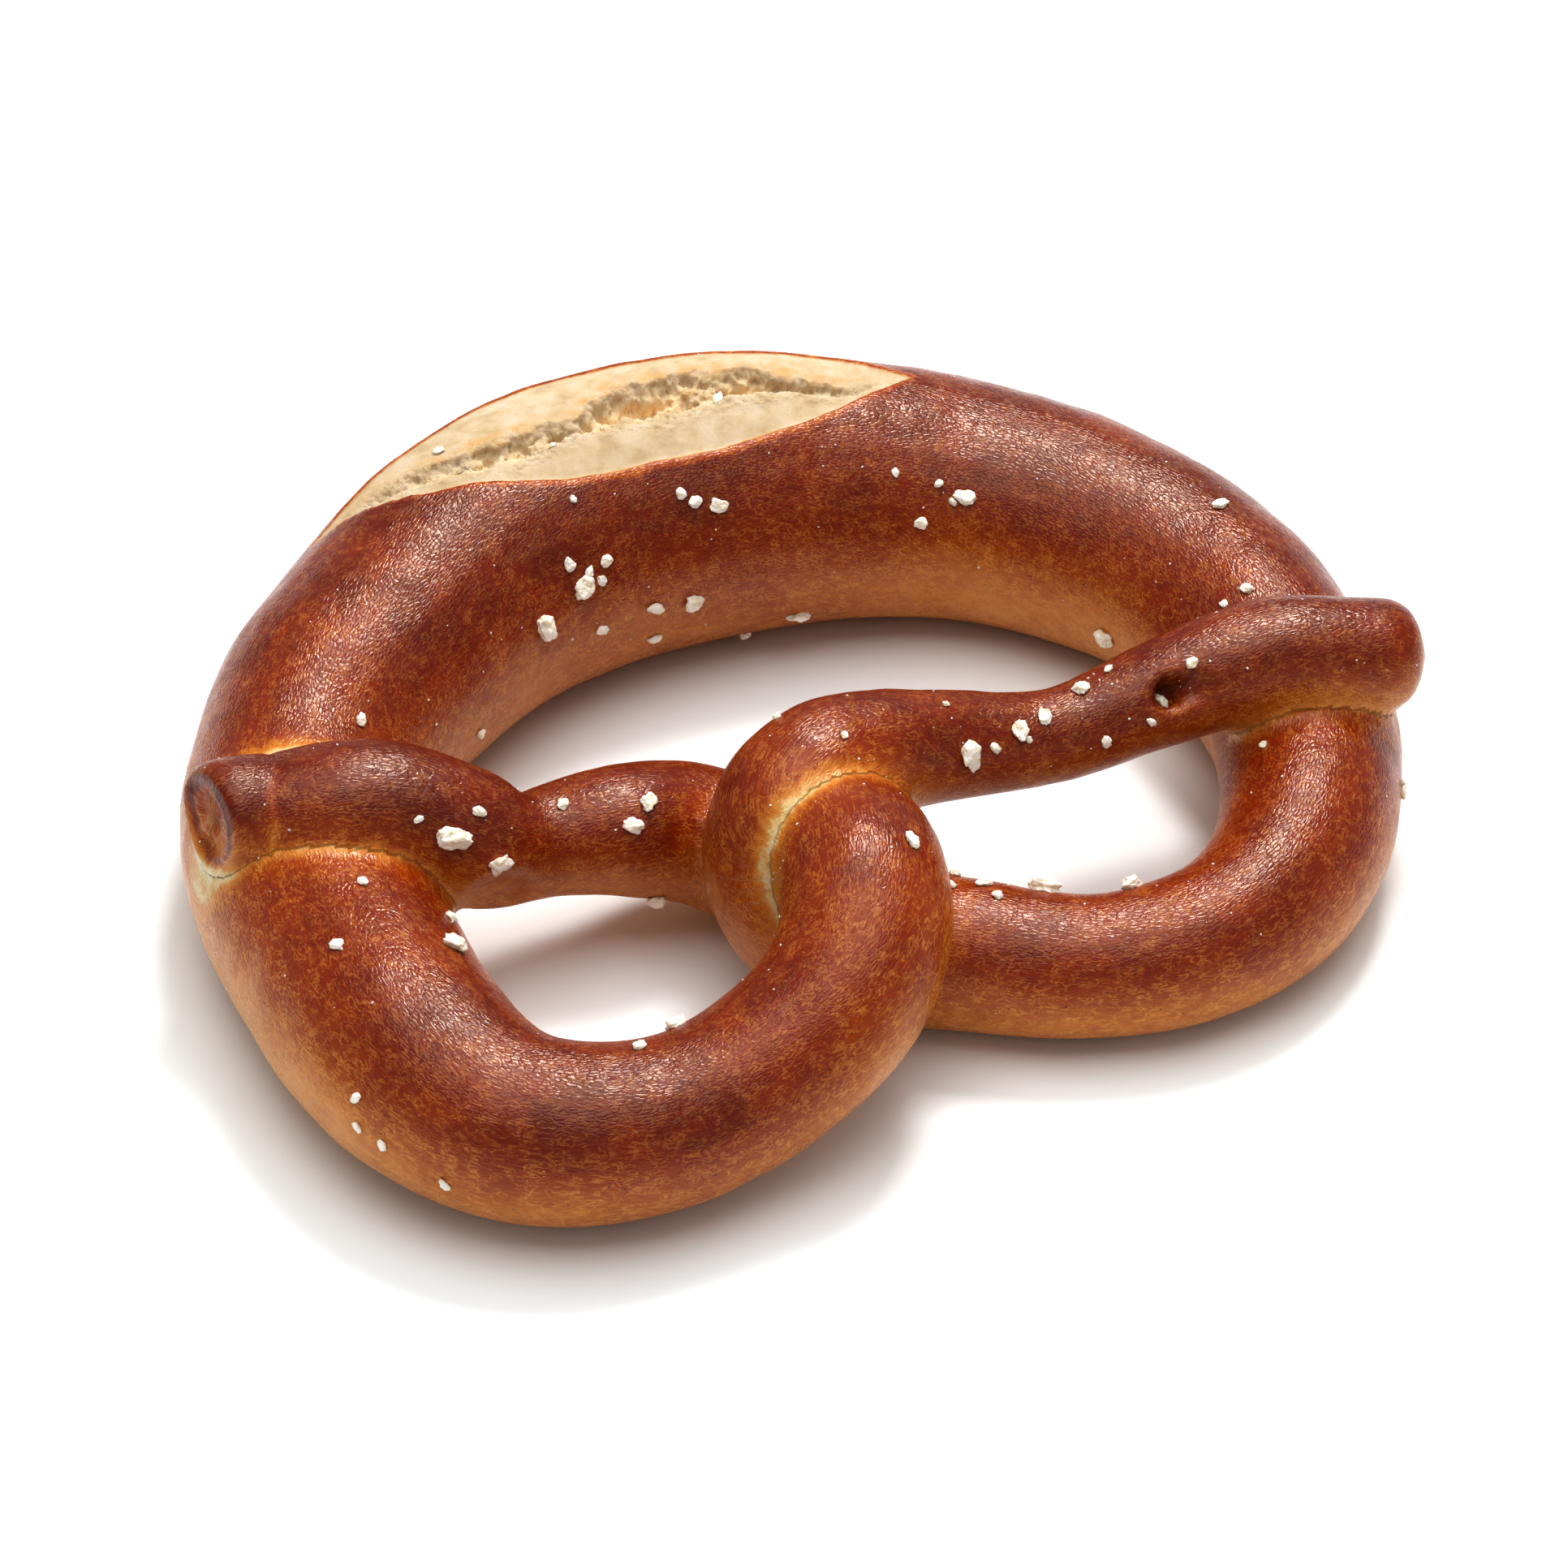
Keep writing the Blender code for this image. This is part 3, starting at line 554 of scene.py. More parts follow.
def buildPretzel():
    rope = readRope(doughRope)
    mesh = tubeMesh(rope, doughRope["corners"])
    flattenOnTray(mesh, doughSurface["traySoftness"], doughSurface["trayGrip"])
    dough = bpy.data.objects.new("pretzelDough", mesh)
    bpy.context.scene.collection.objects.link(dough)
    fuseStrands(dough, doughSurface)
    mesh = dough.data
    refineDetails(mesh, rope)
    triangles = sum(len(face.vertices) - 2 for face in mesh.polygons)
    print(f"dough fused, {triangles} triangles")

    points = pointsOf(mesh)
    place = locate(rope, points)
    split = readSplit(place, points)
    normals = normalsOf(mesh)
    bake, fold = bakeValues(points, normals, rope, place, split)
    size, height = doughSurface["lumps"]
    lump = height * noiseAt(points, size, 5.0, 2)
    size, height = doughSurface["ripples"]
    lump += height * noiseAt(points, size, 6.0, 2)
    lump *= ramp(points[:, 2], *doughSurface["lumpsFrom"])
    pressDents(points, rope, place, crustDents)
    shapeLeftTip(points, rope, place, leftTip)
    torn, toast, crumbly = tearCrumb(points, place, split, splitRelief)
    points += normals * lump[:, None]
    movePoints(mesh, points)
    roughenCrumb(points, normalsOf(mesh), torn, crumbly, splitRelief)

    low, high = points.min(axis=0), points.max(axis=0)
    shift = np.array([(low[0] + high[0]) / 2, (low[1] + high[1]) / 2, low[2]])
    points -= shift
    points[points[:, 2] < doughSurface["flatBelow"], 2] = 0.0
    points = np.clip(points, *(np.array(corner) / mm for corner in cadBox))
    movePoints(mesh, points)
    ropePlace = np.column_stack([place["along"], place["across"], np.zeros(len(points))])
    values = {"ropePlace": ropePlace, "bake": bake, "fold": fold, "lens": split["inside"],
              "torn": torn, "toast": toast, "crumbly": crumbly}
    for name, value in values.items():
        setPointValues(mesh, name, value)
    mesh.shade_smooth()
    return dough, rope, shift


dough, rope, ropeShift = buildPretzel()
print("pretzel shaped, rope shift", ropeShift.round(2))

# Coarse salt. The first rows are grains that stand out: along, angle round, size.
saltGrains = {
    "seen": [
        (-35.9, 70, 3.0), (-45.3, 75, 3.2), (224.9, 61, 3.3), (-283.9, 56, 3.5), (-129.6, 40, 2.9),
        (158.7, 38, 3.7), (145.6, 40, 3.3), (-255.4, 135, 3.0), (61.0, 98, 2.6), (-13.4, 95, 2.6),
        (-278.7, 67, 2.7), (-21.1, 92, 2.1), (31.1, 51, 2.4), (-7.3, 56, 2.2), (24.1, 66, 2.0),
        (65.6, -8, 2.1), (-175.5, 44, 2.6), (-167.6, 18, 1.9), (-259.4, 30, 2.2), (-261.0, 47, 2.2),
        (232.6, 39, 2.4), (236.4, 23, 2.0), (244.0, -3, 2.2), (253.0, 63, 2.3), (257.3, 28, 1.6),
        (-82.1, 35, 1.9), (-282.4, 28, 1.8), (-209.7, -32, 2.0), (165.8, 21, 1.9), (164.2, 6, 1.6),
        (169.7, 38, 1.8), (169.7, 9, 1.5), (168.9, -47, 1.9), (265.7, 115, 2.1), (229.5, 110, 1.8),
        (80.0, 16, 1.7), (5.9, 119, 2.4), (-1.7, 138, 1.9), (-33.6, 92, 1.8), (-36.7, 59, 1.8),
        (-29.6, 65, 1.8), (-34.3, 66, 1.5), (-32.0, 71, 1.7), (-19.6, 111, 1.6), (-61.6, 99, 1.6),
        (-288.0, 56, 1.2), (-125.7, -19, 1.9), (-118.1, 9, 1.4), (-121.9, 56, 1.6), (-142.5, -85, 1.4),
        (-140.2, -84, 1.3), (-139.4, -68, 1.3), (-148.7, -94, 1.4), (244.0, 73, 1.4), (249.9, 72, 1.2),
        (229.5, 56, 1.5), (-268.1, 14, 1.6), (208.7, 23, 1.2), (207.0, -39, 1.2), (-12.7, 49, 1.4),
        (-11.1, 53, 1.7), (26.4, 47, 1.2), (28.8, 54, 1.2), (-30.4, 38, 1.2), (19.2, 45, 1.2),
        (80.0, 31, 1.2), (248.4, -12, 1.2), (223.4, 5, 1.0), (109.0, 34, 1.2), (234.1, 49, 1.0),
        (-28.1, 12, 1.0), (-17.3, 14, 1.6), (-4.1, 7, 1.8), (-37.5, -21, 1.5),
    ],
    # the side that the photo does not show: from and to along, angles, how many
    "rest": [
        (-48.0, 12.0, -115.0, -66.0, 12), (15.0, 80.0, -115.0, -66.0, 11),
        (86.0, 112.0, -112.0, -84.0, 4), (-74.0, -55.0, -115.0, -80.0, 3),
    ],
    "restSizes": (1.3, 2.6),
    "dust": 300,  # crumbs of salt under half a millimetre
    "dustSizes": (0.15, 0.42),
    "dustAngles": (20.0, 60.0),  # the middle and the spread of the angles round the rope
    "fineFrom": 1.9,  # size from which a grain has more faces
    "facets": 10,  # broken faces of a crystal
    "facetReach": (0.62, 0.95),  # their distance from its middle, in radii
    "stretch": [(1.0, 1.35), (0.8, 1.0), (0.5, 0.7)],  # of its length, width and height
    "roughness": (0.26, 0.10),  # of its outline and of its skin, in radii
    "raised": 0.14,  # how high its middle lies over the crust, in sizes
    "strandReach": 2.5,  # crust further out than this is another strand's
    "boxMargin": 0.75,  # a grain this share of its size from the CAD's box is left out
    "seed": 20,
}


def crustSpot(rope, skin, shift, along, angle):  # place and normal on the crust, or None
    i = int(np.abs(rope["along"] - along).argmin())
    out = outward(rope, i, angle)
    middle = rope["middle"][i] - shift
    hit, normal, _, _ = skin.ray_cast(Vector(middle + out * 40) * mm, Vector(-out))
    if hit is None:
        return None
    place = np.array(hit) / mm
    if np.linalg.norm(place - middle) > rope["half"][i] + saltGrains["strandReach"]:
        return None
    return place, np.array(normal)


def addCrystal(work, place, out, size, detail, draw):  # a ball cut by random planes, then roughened
    ball = bmesh.ops.create_icosphere(work, subdivisions=detail, radius=1.0)["verts"]
    planes = draw.normal(size=(saltGrains["facets"], 3))
    planes /= np.linalg.norm(planes, axis=1)[:, None]
    reach = draw.uniform(*saltGrains["facetReach"], len(planes))
    stretch = np.array([draw.uniform(*span) for span in saltGrains["stretch"]])
    upright = Vector(out).to_track_quat("Z", "Y").to_matrix()
    turn = upright @ Matrix.Rotation(draw.uniform(0, 6.28), 3, "Z")
    seed = Vector(draw.uniform(-50, 50, 3))
    coarse, fine = saltGrains["roughness"]
    for vertex in ball:
        way = vertex.co.normalized()
        facing = planes @ np.array(way)
        radius = (reach[facing > 0.05] / facing[facing > 0.05]).min(initial=1.0)
        radius *= 1 + coarse * noise.noise(way * 1.9 + seed) + fine * noise.noise(way * 6.0 + seed)
        vertex.co = (turn @ Vector(np.array(way) * stretch * radius * size / 2) + Vector(place)) * mm


def layCrystals(dough, rope, shift, settings):
    skin = BVHTree.FromObject(dough, bpy.context.evaluated_depsgraph_get())
    draw = np.random.default_rng(settings["seed"])
    work = bmesh.new()
    laid = 0
    low, high = (np.array(corner) / mm for corner in cadBox)

    def lay(along, angle, size, detail):
        spot = crustSpot(rope, skin, shift, along, angle)
        if spot is None:
            return 0
        place, out = spot
        reach = size * settings["boxMargin"]
        if np.any(place - reach < low) or np.any(place + reach > high):
            return 0
        addCrystal(work, place + out * size * settings["raised"], out, size, detail, draw)
        return 1

    for along, angle, size in settings["seen"]:
        laid += lay(along, angle, size, 4 if size > settings["fineFrom"] else 3)
    for start, end, lowAngle, highAngle, count in settings["rest"]:
        for _ in range(count):
            size = draw.uniform(*settings["restSizes"])
            laid += lay(draw.uniform(start, end), draw.uniform(lowAngle, highAngle), size, 3)
    for _ in range(settings["dust"]):
        along = draw.uniform(rope["along"][0], rope["along"][-1])
        angle = draw.normal(*settings["dustAngles"])
        laid += lay(along, angle, draw.uniform(*settings["dustSizes"]), 1)
    mesh = bpy.data.meshes.new("bakedSalt")
    work.to_mesh(mesh)
    work.free()
    salt = bpy.data.objects.new("bakedSalt", mesh)
    bpy.context.scene.collection.objects.link(salt)
    print(f"salt laid, {laid} grains, {len(mesh.polygons)} triangles")
    return salt


salt = layCrystals(dough, rope, ropeShift, saltGrains)


noiseSpan = {"From Min": 0.3, "From Max": 0.7}  # nearly all values of a noise texture lie between these


def addNode(tree, kind, inputs=None, output=0, stops=None, **settings):  # a node, its settings and links
    made = tree.nodes.new(kind)
    for name, value in settings.items():
        setattr(made, name, value)
    if stops:
        elements = made.color_ramp.elements
        while len(elements) < len(stops):
            elements.new(1.0)
        for element, (position, colour) in zip(elements, stops):
            element.position = position
            element.color = hexColour(colour)
    for name, value in (inputs or {}).items():
        if isinstance(value, bpy.types.NodeSocket):
            tree.links.new(value, made.inputs[name])
        else:
            made.inputs[name].default_value = value
    return made.outputs[output] if made.outputs else None


def newMaterial(name):
    material = bpy.data.materials.new(name)
    material.use_nodes = True
    tree = material.node_tree
    tree.nodes.clear()
    return material, tree


# Wheat dough dipped in lye and baked: a thin glossy skin, nearly mahogany on top and amber on the sides,
# finely wrinkled like leather, with short golden threads where the skin stretched over the gluten.
# Its gloss is very slightly warm, from the browned sugars in the skin.
lyeCrust = {
    "browning": [(0.0, "#D2904A"), (0.2, "#C0742A"), (0.4, "#AA590E"), (0.6, "#963D03"),
                 (0.8, "#812903"), (1.0, "#641701")],
    "patchSize": 11.0,  # cloudy patches of more and less brown
    "patchDepth": 0.12,
    "streakSize": (3.6, 1.5),  # mm along and across the rope
    "streakDepth": 0.08,
    "threadColour": "#D6943F",
    "threadSize": (1.4, 0.8),  # about twice as coarse as the real ones, so that they show
    "threadWidth": 0.06,  # share of the noise's range that is drawn as thread
    "threadShow": (0.82, 0.18),  # on amber crust and on the darkest
    "pinprickColour": "#35160B",
    "pinprickSpacing": 2.4,
    "haloColour": "#CB8430",
    "foldColours": [(0.0, "#C08E48"), (0.5, "#D2B47C"), (1.0, "#D8CAAA")],
    "wrinkleSize": (1.0, 0.45),
    "wrinkleHeight": 0.03,
    "skinSize": 0.45,
    "skinHeight": 0.028,
    "roughness": (0.18, 0.34),
    "ior": 1.48,
    "glossTint": "#FFF4E6",
}
tornCrumb = {  # matt bread crumb, baked dry: cream with toasted golden edges
    "colours": [(0.0, "#B39C79"), (0.5, "#BFAB8B"), (1.0, "#C7B69D")],
    "stainSize": 3.6,
    # painted light: a paler, warmer cream that brightens the crumb deep in the rift, where shade falls
    "riftPaintedLightColour": "#F6DBB0",
    "toast": "#C49A60",
    "rimColour": "#B07A40",
    "grainSize": 0.7,
    "grainHeights": (0.10, 0.34),  # on the smooth skin and in the rift
    "roughness": 0.85,
    "ior": 1.42,
    "glow": 0.35,  # share of the light that wanders through the crumb
    "glowReach": (2.5, 1.5, 0.8),  # mm that its red, green and blue get
}


def lyeCrustMaterial():
    material, tree = newMaterial("lyeCrustBaked")
    ropePlace = addNode(tree, "ShaderNodeAttribute", output="Vector", attribute_name="ropePlace")
    bake, fold, lens, torn, toast, crumbly = [
        addNode(tree, "ShaderNodeAttribute", output="Fac", attribute_name=name)
        for name in ("bake", "fold", "lens", "torn", "toast", "crumbly")
    ]
    objectPlace = addNode(tree, "ShaderNodeTexCoord", output="Object")
    inMm = addNode(tree, "ShaderNodeVectorMath", {0: objectPlace, "Scale": 1000.0}, operation="SCALE")

    # how brown: the baked value, cloudy patches, and streaks that lie along the rope
    depth = lyeCrust["patchDepth"]
    clouds = addNode(tree, "ShaderNodeTexNoise", {
        "Vector": inMm, "Scale": 1 / lyeCrust["patchSize"], "Detail": 5.0, "Roughness": 0.62})
    patches = addNode(tree, "ShaderNodeMapRange", {
        "Value": clouds, **noiseSpan, "To Min": -depth, "To Max": depth})
    depth = lyeCrust["streakDepth"]
    streakScale = (1 / lyeCrust["streakSize"][0], 1 / lyeCrust["streakSize"][1], 1.0)
    streakPlace = addNode(
        tree, "ShaderNodeVectorMath", {0: ropePlace, 1: streakScale}, operation="MULTIPLY")
    streakNoise = addNode(tree, "ShaderNodeTexNoise", {
        "Vector": streakPlace, "Scale": 1.0, "Detail": 4.0, "Roughness": 0.65, "Distortion": 0.6})
    streaks = addNode(tree, "ShaderNodeMapRange", {
        "Value": streakNoise, **noiseSpan, "To Min": -depth, "To Max": depth})
    uneven = addNode(tree, "ShaderNodeMath", {0: patches, 1: streaks}, operation="ADD")
    brownness = addNode(tree, "ShaderNodeMath", {0: bake, 1: uneven}, operation="ADD")
    crustColour = addNode(tree, "ShaderNodeValToRGB", {"Fac": brownness}, stops=lyeCrust["browning"])

    # golden threads: thin level lines of a noise stretched along the rope, broken up by a second one
    threadScale = (1 / lyeCrust["threadSize"][0], 1 / lyeCrust["threadSize"][1], 1.0)
    threadPlace = addNode(
        tree, "ShaderNodeVectorMath", {0: ropePlace, 1: threadScale}, operation="MULTIPLY")
    threadNoise = addNode(tree, "ShaderNodeTexNoise", {
        "Vector": threadPlace, "Scale": 1.0, "Detail": 3.0, "Roughness": 0.6, "Distortion": 0.8})
    offLine = addNode(tree, "ShaderNodeMath", {0: threadNoise, 1: 0.5}, operation="SUBTRACT")
    offLine = addNode(tree, "ShaderNodeMath", {0: offLine}, operation="ABSOLUTE")
    onLine = addNode(tree, "ShaderNodeMapRange", {
        "Value": offLine, "From Min": 0.0, "From Max": lyeCrust["threadWidth"],
        "To Min": 1.0, "To Max": 0.0})
    breaks = addNode(tree, "ShaderNodeTexNoise", {
        "Vector": inMm, "Scale": 0.55, "Detail": 4.0, "Roughness": 0.7})
    pieces = addNode(tree, "ShaderNodeMapRange", {"Value": breaks, "From Min": 0.40, "From Max": 0.54})
    light, dark = lyeCrust["threadShow"]
    show = addNode(tree, "ShaderNodeMapRange", {
        "Value": brownness, "From Min": 0.35, "From Max": 1.0, "To Min": light, "To Max": dark})
    threads = addNode(tree, "ShaderNodeMath", {0: onLine, 1: pieces}, operation="MULTIPLY")
    threads = addNode(tree, "ShaderNodeMath", {0: threads, 1: show}, operation="MULTIPLY")
    threaded = addNode(tree, "ShaderNodeMix", {
        0: threads, 6: crustColour, 7: hexColour(lyeCrust["threadColour"])}, output=2, data_type="RGBA")

    # dark pinpricks where bubbles burst in the lye
    cells = addNode(
        tree, "ShaderNodeTexVoronoi", {"Vector": inMm, "Scale": 1 / lyeCrust["pinprickSpacing"]})
    pricks = addNode(tree, "ShaderNodeMapRange", {
        "Value": cells, "From Min": 0.09, "From Max": 0.05, "To Min": 0.0, "To Max": 0.6})
    pricked = addNode(tree, "ShaderNodeMix", {
        0: pricks, 6: threaded, 7: hexColour(lyeCrust["pinprickColour"])}, output=2, data_type="RGBA")

    # folds that opened after the lye bath stayed pale, with an amber halo
    raggedNoise = addNode(tree, "ShaderNodeTexNoise", {"Vector": inMm, "Scale": 0.8, "Detail": 4.0})
    raggedShift = addNode(tree, "ShaderNodeMapRange", {
        "Value": raggedNoise, **noiseSpan, "To Min": -0.16, "To Max": 0.16})
    ragged = addNode(tree, "ShaderNodeMath", {0: fold, 1: raggedShift}, operation="ADD")
    haloShare = addNode(tree, "ShaderNodeMapRange", {
        "Value": ragged, "From Min": 0.10, "From Max": 0.50, "To Min": 0.0, "To Max": 0.8})
    haloed = addNode(tree, "ShaderNodeMix", {
        0: haloShare, 6: pricked, 7: hexColour(lyeCrust["haloColour"])}, output=2, data_type="RGBA")
    foldEdge = addNode(tree, "ShaderNodeMapRange", {"Value": ragged, "From Min": 0.45, "From Max": 1.0})
    foldColour = addNode(tree, "ShaderNodeValToRGB", {"Fac": foldEdge}, stops=lyeCrust["foldColours"])
    foldShare = addNode(tree, "ShaderNodeMapRange", {"Value": foldEdge, "From Min": 0.0, "From Max": 0.5})
    folded = addNode(tree, "ShaderNodeMix", {
        0: foldShare, 6: haloed, 7: foldColour}, output=2, data_type="RGBA")

    # relief of the skin: leathery wrinkles along the rope and a fine grain
    wrinkleScale = (1 / lyeCrust["wrinkleSize"][0], 1 / lyeCrust["wrinkleSize"][1], 1.0)
    wrinklePlace = addNode(
        tree, "ShaderNodeVectorMath", {0: ropePlace, 1: wrinkleScale}, operation="MULTIPLY")
    bend = addNode(tree, "ShaderNodeTexNoise", {"Vector": inMm, "Scale": 0.7, "Detail": 2.0}, output=1)
    wavy = addNode(tree, "ShaderNodeVectorMath", {0: wrinklePlace, 1: bend}, operation="ADD")
    cracks = addNode(
        tree, "ShaderNodeTexVoronoi", {"Vector": wavy, "Scale": 1.0}, feature="DISTANCE_TO_EDGE")
    wrinkleMm = addNode(tree, "ShaderNodeMapRange", {
        "Value": cracks, "From Min": 0.0, "From Max": 0.25,
        "To Min": 0.0, "To Max": lyeCrust["wrinkleHeight"]})
    grain = addNode(tree, "ShaderNodeTexNoise", {
        "Vector": inMm, "Scale": 1 / lyeCrust["skinSize"], "Detail": 3.0, "Roughness": 0.6})
    skinMm = addNode(tree, "ShaderNodeMath", {
        0: grain, 1: lyeCrust["skinHeight"], 2: wrinkleMm}, operation="MULTIPLY_ADD")
    crustBump = addNode(tree, "ShaderNodeBump", {"Strength": 1.0, "Distance": mm, "Height": skinMm})
    glossNoise = addNode(tree, "ShaderNodeTexNoise", {"Vector": inMm, "Scale": 0.35, "Detail": 4.0})
    shiny, dull = lyeCrust["roughness"]
    gloss = addNode(tree, "ShaderNodeMapRange", {
        "Value": glossNoise, **noiseSpan, "To Min": shiny, "To Max": dull})
    crust = addNode(tree, "ShaderNodeBsdfPrincipled", {
        "Base Color": folded, "Roughness": gloss, "IOR": lyeCrust["ior"],
        "Specular Tint": hexColour(lyeCrust["glossTint"]), "Normal": crustBump})

    # crumb of the split: cream, brightened by painted light in the rift the deeper it is torn, golden on
    # its upper edges
    stainNoise = addNode(tree, "ShaderNodeTexNoise", {
        "Vector": inMm, "Scale": 1 / tornCrumb["stainSize"], "Detail": 5.0, "Roughness": 0.62})
    stain = addNode(
        tree, "ShaderNodeMapRange", {"Value": stainNoise, "From Min": 0.32, "From Max": 0.62})
    tone = addNode(tree, "ShaderNodeValToRGB", {"Fac": stain}, stops=tornCrumb["colours"])
    # painted light: the deeper the rift is torn, the more of that paler cream stands in for the shade
    # there
    riftPaintedLightShare = addNode(tree, "ShaderNodeMapRange", {
        "Value": torn, "From Min": 0.6, "From Max": 3.6, "To Min": 0.0, "To Max": 0.9})
    riftPaintedLit = addNode(tree, "ShaderNodeMix", {
        0: riftPaintedLightShare, 6: tone, 7: hexColour(tornCrumb["riftPaintedLightColour"])}, output=2, data_type="RGBA")
    toastNoise = addNode(tree, "ShaderNodeTexNoise", {
        "Vector": inMm, "Scale": 0.45, "Detail": 5.0, "Roughness": 0.65})
    toastPatches = addNode(tree, "ShaderNodeMapRange", {
        "Value": toastNoise, "From Min": 0.40, "From Max": 0.62, "To Min": 0.1, "To Max": 0.9})
    toastShare = addNode(tree, "ShaderNodeMath", {0: toast, 1: toastPatches}, operation="MULTIPLY")
    toasted = addNode(tree, "ShaderNodeMix", {
        0: toastShare, 6: riftPaintedLit, 7: hexColour(tornCrumb["toast"])}, output=2, data_type="RGBA")
    smooth, coarse = tornCrumb["grainHeights"]
    crumbHeight = addNode(tree, "ShaderNodeMapRange", {
        "Value": crumbly, "From Min": 0.0, "From Max": 1.0, "To Min": smooth, "To Max": coarse})
    crumbGrain = addNode(tree, "ShaderNodeTexNoise", {
        "Vector": inMm, "Scale": 1 / tornCrumb["grainSize"], "Detail": 4.0, "Roughness": 0.65})
    crumbMm = addNode(tree, "ShaderNodeMath", {0: crumbGrain, 1: crumbHeight}, operation="MULTIPLY")
    crumbBump = addNode(tree, "ShaderNodeBump", {"Strength": 1.0, "Distance": mm, "Height": crumbMm})

    # the crust's torn edge is a thin browned line between the two
    edgeNoise = addNode(tree, "ShaderNodeTexNoise", {"Vector": inMm, "Scale": 1.1, "Detail": 3.0})
    edgeShift = addNode(tree, "ShaderNodeMapRange", {
        "Value": edgeNoise, **noiseSpan, "To Min": -0.1, "To Max": 0.1})
    edge = addNode(tree, "ShaderNodeMath", {0: lens, 1: edgeShift}, operation="ADD")
    rimShare = addNode(tree, "ShaderNodeMapRange", {
        "Value": edge, "From Min": 0.60, "From Max": 0.10, "To Min": 0.0, "To Max": 1.0})
    rimmed = addNode(tree, "ShaderNodeMix", {
        0: rimShare, 6: toasted, 7: hexColour(tornCrumb["rimColour"])}, output=2, data_type="RGBA")
    crumb = addNode(tree, "ShaderNodeBsdfPrincipled", {
        "Base Color": rimmed, "Roughness": tornCrumb["roughness"], "IOR": tornCrumb["ior"],
        "Normal": crumbBump, "Subsurface Weight": tornCrumb["glow"],
        "Subsurface Radius": tornCrumb["glowReach"], "Subsurface Scale": mm})
    onCrumb = addNode(tree, "ShaderNodeMapRange", {"Value": edge, "From Min": 0.0, "From Max": 0.12})
    both = addNode(tree, "ShaderNodeMixShader", {0: onCrumb, 1: crust, 2: crumb})
    addNode(tree, "ShaderNodeOutputMaterial", {"Surface": both})
    return material


# Coarse rock salt, crushed: cloudy white crystals with dull broken faces that let a little light in.
crushedSalt = {
    "colours": [(0.0, "#DDD0B4"), (0.4, "#ECE4D2"), (1.0, "#F6F2E8")],
    "cloudSize": 1.1,
    "roughness": 0.42,
    "ior": 1.54,
    "grit": (0.5, 0.14),  # size and height
    "glow": 0.5,
    "glowReach": (1.0, 1.0, 0.8),
}


def crushedSaltMaterial():
    material, tree = newMaterial("rockSaltCrushed")
    objectPlace = addNode(tree, "ShaderNodeTexCoord", output="Object")
    inMm = addNode(tree, "ShaderNodeVectorMath", {0: objectPlace, "Scale": 1000.0}, operation="SCALE")
    cloud = addNode(tree, "ShaderNodeTexNoise", {
        "Vector": inMm, "Scale": 1 / crushedSalt["cloudSize"], "Detail": 3.0})
    cloudShare = addNode(
        tree, "ShaderNodeMapRange", {"Value": cloud, "From Min": 0.3, "From Max": 0.65})
    tone = addNode(tree, "ShaderNodeValToRGB", {"Fac": cloudShare}, stops=crushedSalt["colours"])
    size, height = crushedSalt["grit"]
    grit = addNode(tree, "ShaderNodeTexNoise", {"Vector": inMm, "Scale": 1 / size, "Detail": 3.0})
    gritMm = addNode(tree, "ShaderNodeMath", {0: grit, 1: height}, operation="MULTIPLY")
    bump = addNode(tree, "ShaderNodeBump", {"Strength": 1.0, "Distance": mm, "Height": gritMm})
    shader = addNode(tree, "ShaderNodeBsdfPrincipled", {
        "Base Color": tone, "Roughness": crushedSalt["roughness"], "IOR": crushedSalt["ior"],
        "Normal": bump, "Subsurface Weight": crushedSalt["glow"],
        "Subsurface Radius": crushedSalt["glowReach"], "Subsurface Scale": mm})
    addNode(tree, "ShaderNodeOutputMaterial", {"Surface": shader})
    return material


dough.data.materials.clear()
dough.data.materials.append(lyeCrustMaterial())
salt.data.materials.append(crushedSaltMaterial())
dough.name = "pretzel_dough"
salt.name = "baked_salt"
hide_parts("pretzel")
for piece in (dough, salt):
    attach(piece, "root")
print("materials set")

studio = {
    "floorSize": 4.0,
    "floorColours": [(0.0, "#EDF2F3"), (1.0, "#F5FAFB")],  # a little cool, which keeps its shadows grey
    "worldColour": "#FFFFFF",
    "worldStrength": 0.36,
    "key": {"watts": 5.4, "size": 0.27, "distance": 0.95, "turn": 30.0, "height": 60.0},
    "top": {"watts": 4.4, "size": 0.8, "distance": 0.9, "turn": 190.0, "height": 86.0},
    "exposure": 0.42,  # with the gamma, the contrast of the photographer's camera
    "gamma": 0.8,
}
photoCamera = {
    "target": (1.0, 12.1, 0.0),  # in rope coordinates
    "distance": 700.0,
    "yaw": 12.65,
    "elevation": 40.0,
    "angle": 16.33,
}


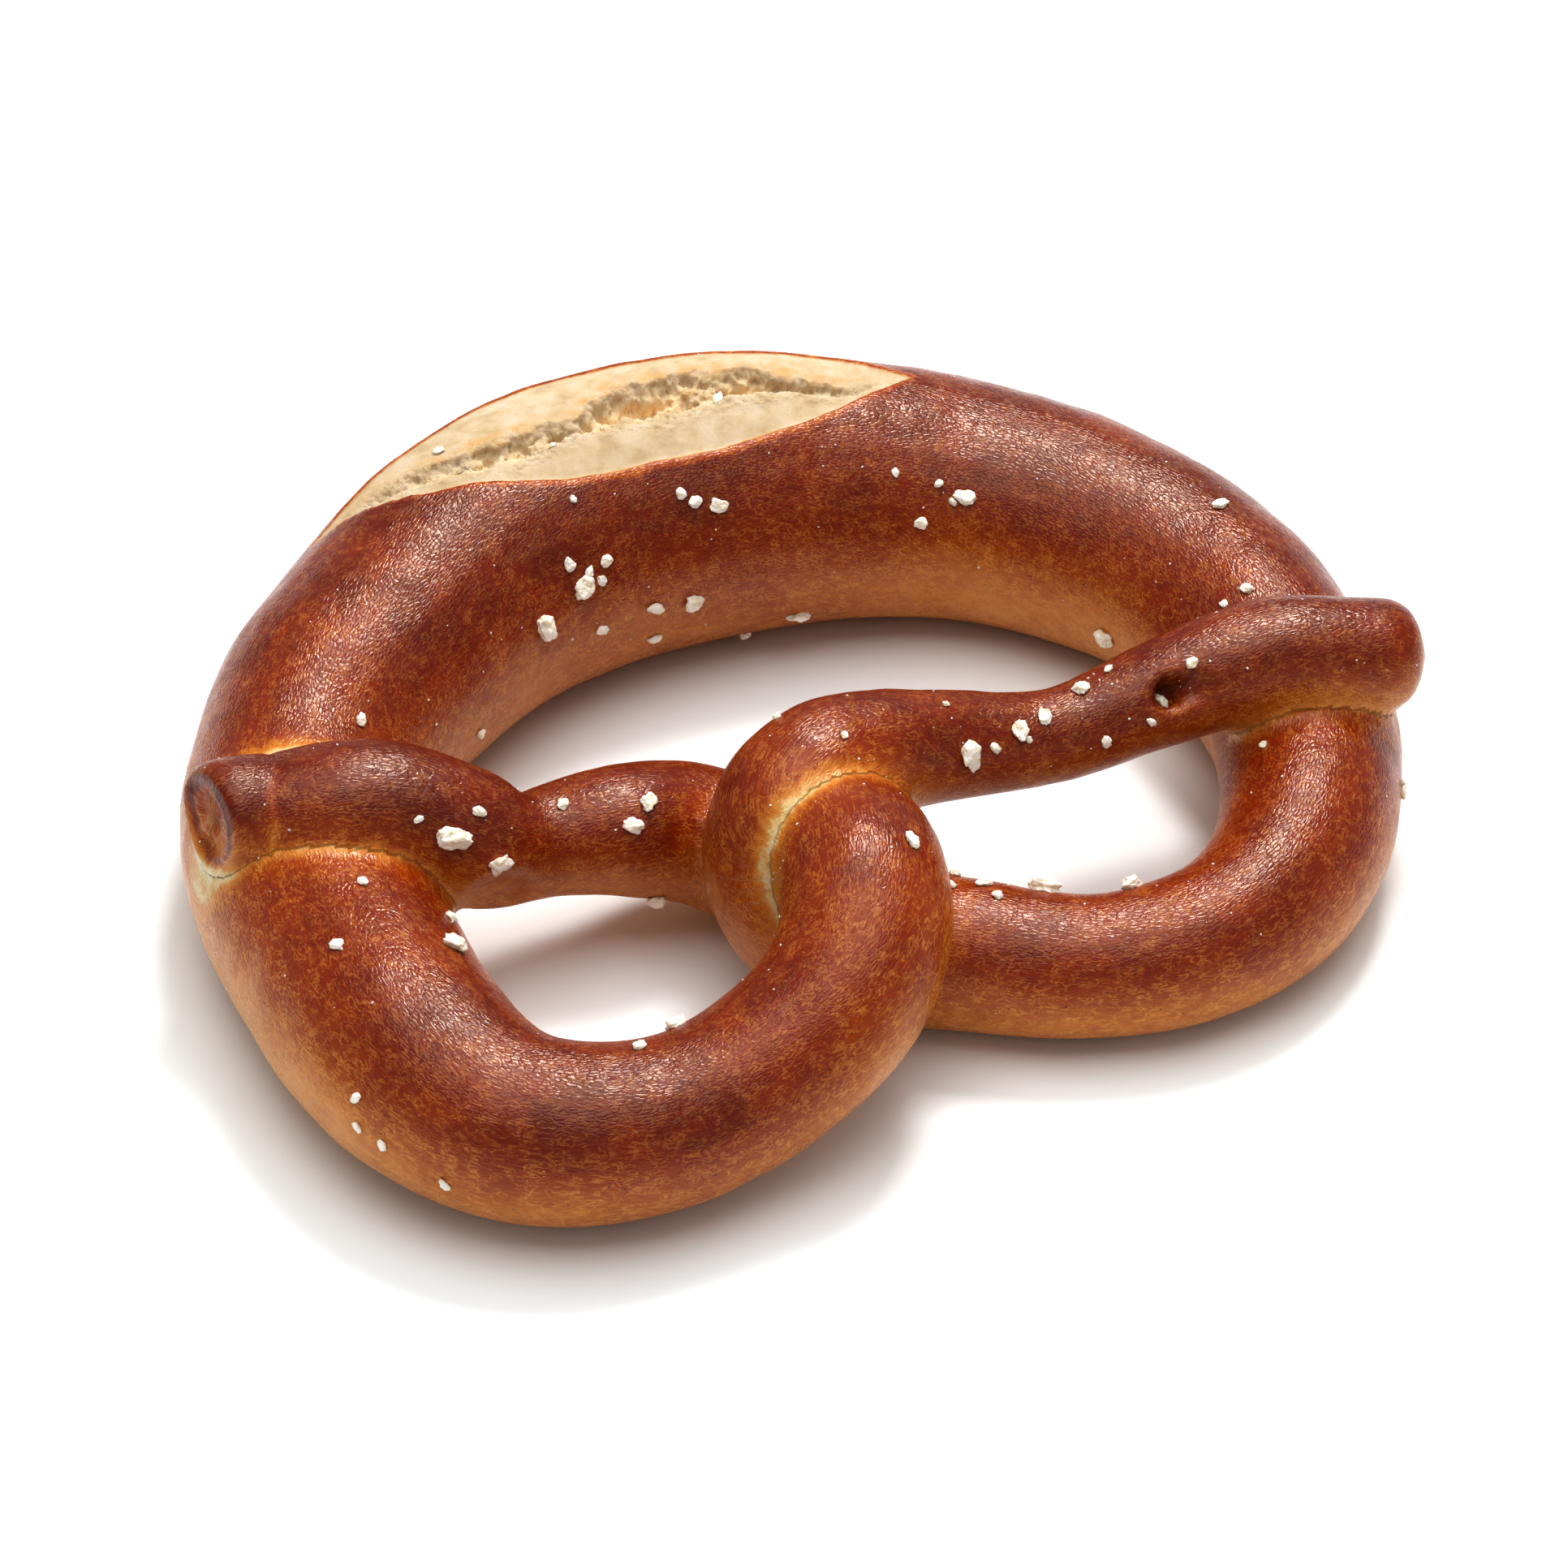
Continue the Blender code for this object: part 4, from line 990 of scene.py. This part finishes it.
def buildFloor(settings):
    bpy.ops.mesh.primitive_plane_add(size=settings["floorSize"])
    floor = bpy.context.object
    floor.name = "floor"
    material, tree = newMaterial("mattPaperFloor")
    mottle = addNode(tree, "ShaderNodeTexNoise", {"Scale": 40.0, "Detail": 2.0})
    tone = addNode(tree, "ShaderNodeValToRGB", {"Fac": mottle}, stops=settings["floorColours"])
    shader = addNode(tree, "ShaderNodeBsdfPrincipled", {"Base Color": tone, "Roughness": 0.9})
    addNode(tree, "ShaderNodeOutputMaterial", {"Surface": shader})
    floor.data.materials.append(material)


def addSoftbox(name, settings):
    light = bpy.data.lights.new(name, "AREA")
    light.shape = "SQUARE"
    light.size = settings["size"]
    light.energy = settings["watts"]
    lamp = bpy.data.objects.new(name, light)
    bpy.context.scene.collection.objects.link(lamp)
    turn, height = math.radians(settings["turn"]), math.radians(settings["height"])
    flat = math.cos(height)
    towards = Vector((math.sin(turn) * flat, math.cos(turn) * flat, math.sin(height)))
    lamp.location = towards * settings["distance"]
    lamp.rotation_euler = towards.to_track_quat("Z", "Y").to_euler()


def addCamera(settings, shift):
    camera = bpy.data.cameras.new("photoCamera")
    camera.sensor_width = 36.0
    camera.angle = math.radians(settings["angle"])
    camera.clip_start = 0.01
    holder = bpy.data.objects.new("photoCamera", camera)
    bpy.context.scene.collection.objects.link(holder)
    yaw, elevation = math.radians(settings["yaw"]), math.radians(settings["elevation"])
    flat = math.cos(elevation)
    look = Vector((math.sin(yaw) * flat, math.cos(yaw) * flat, -math.sin(elevation)))
    target = (Vector(settings["target"]) - Vector(shift)) * mm
    holder.location = target - look * settings["distance"] * mm
    holder.rotation_euler = look.to_track_quat("-Z", "Y").to_euler()
    bpy.context.scene.camera = holder


buildFloor(studio)
addSoftbox("keySoftbox", studio["key"])
addSoftbox("topSoftbox", studio["top"])
addCamera(photoCamera, ropeShift)
world = bpy.data.worlds.new("studio")
world.use_nodes = True
world.node_tree.nodes["Background"].inputs["Color"].default_value = hexColour(studio["worldColour"])
world.node_tree.nodes["Background"].inputs["Strength"].default_value = studio["worldStrength"]
bpy.context.scene.world = world
bpy.context.scene.view_settings.view_transform = "Standard"
bpy.context.scene.view_settings.exposure = studio["exposure"]
bpy.context.scene.view_settings.gamma = studio["gamma"]
print("studio set")
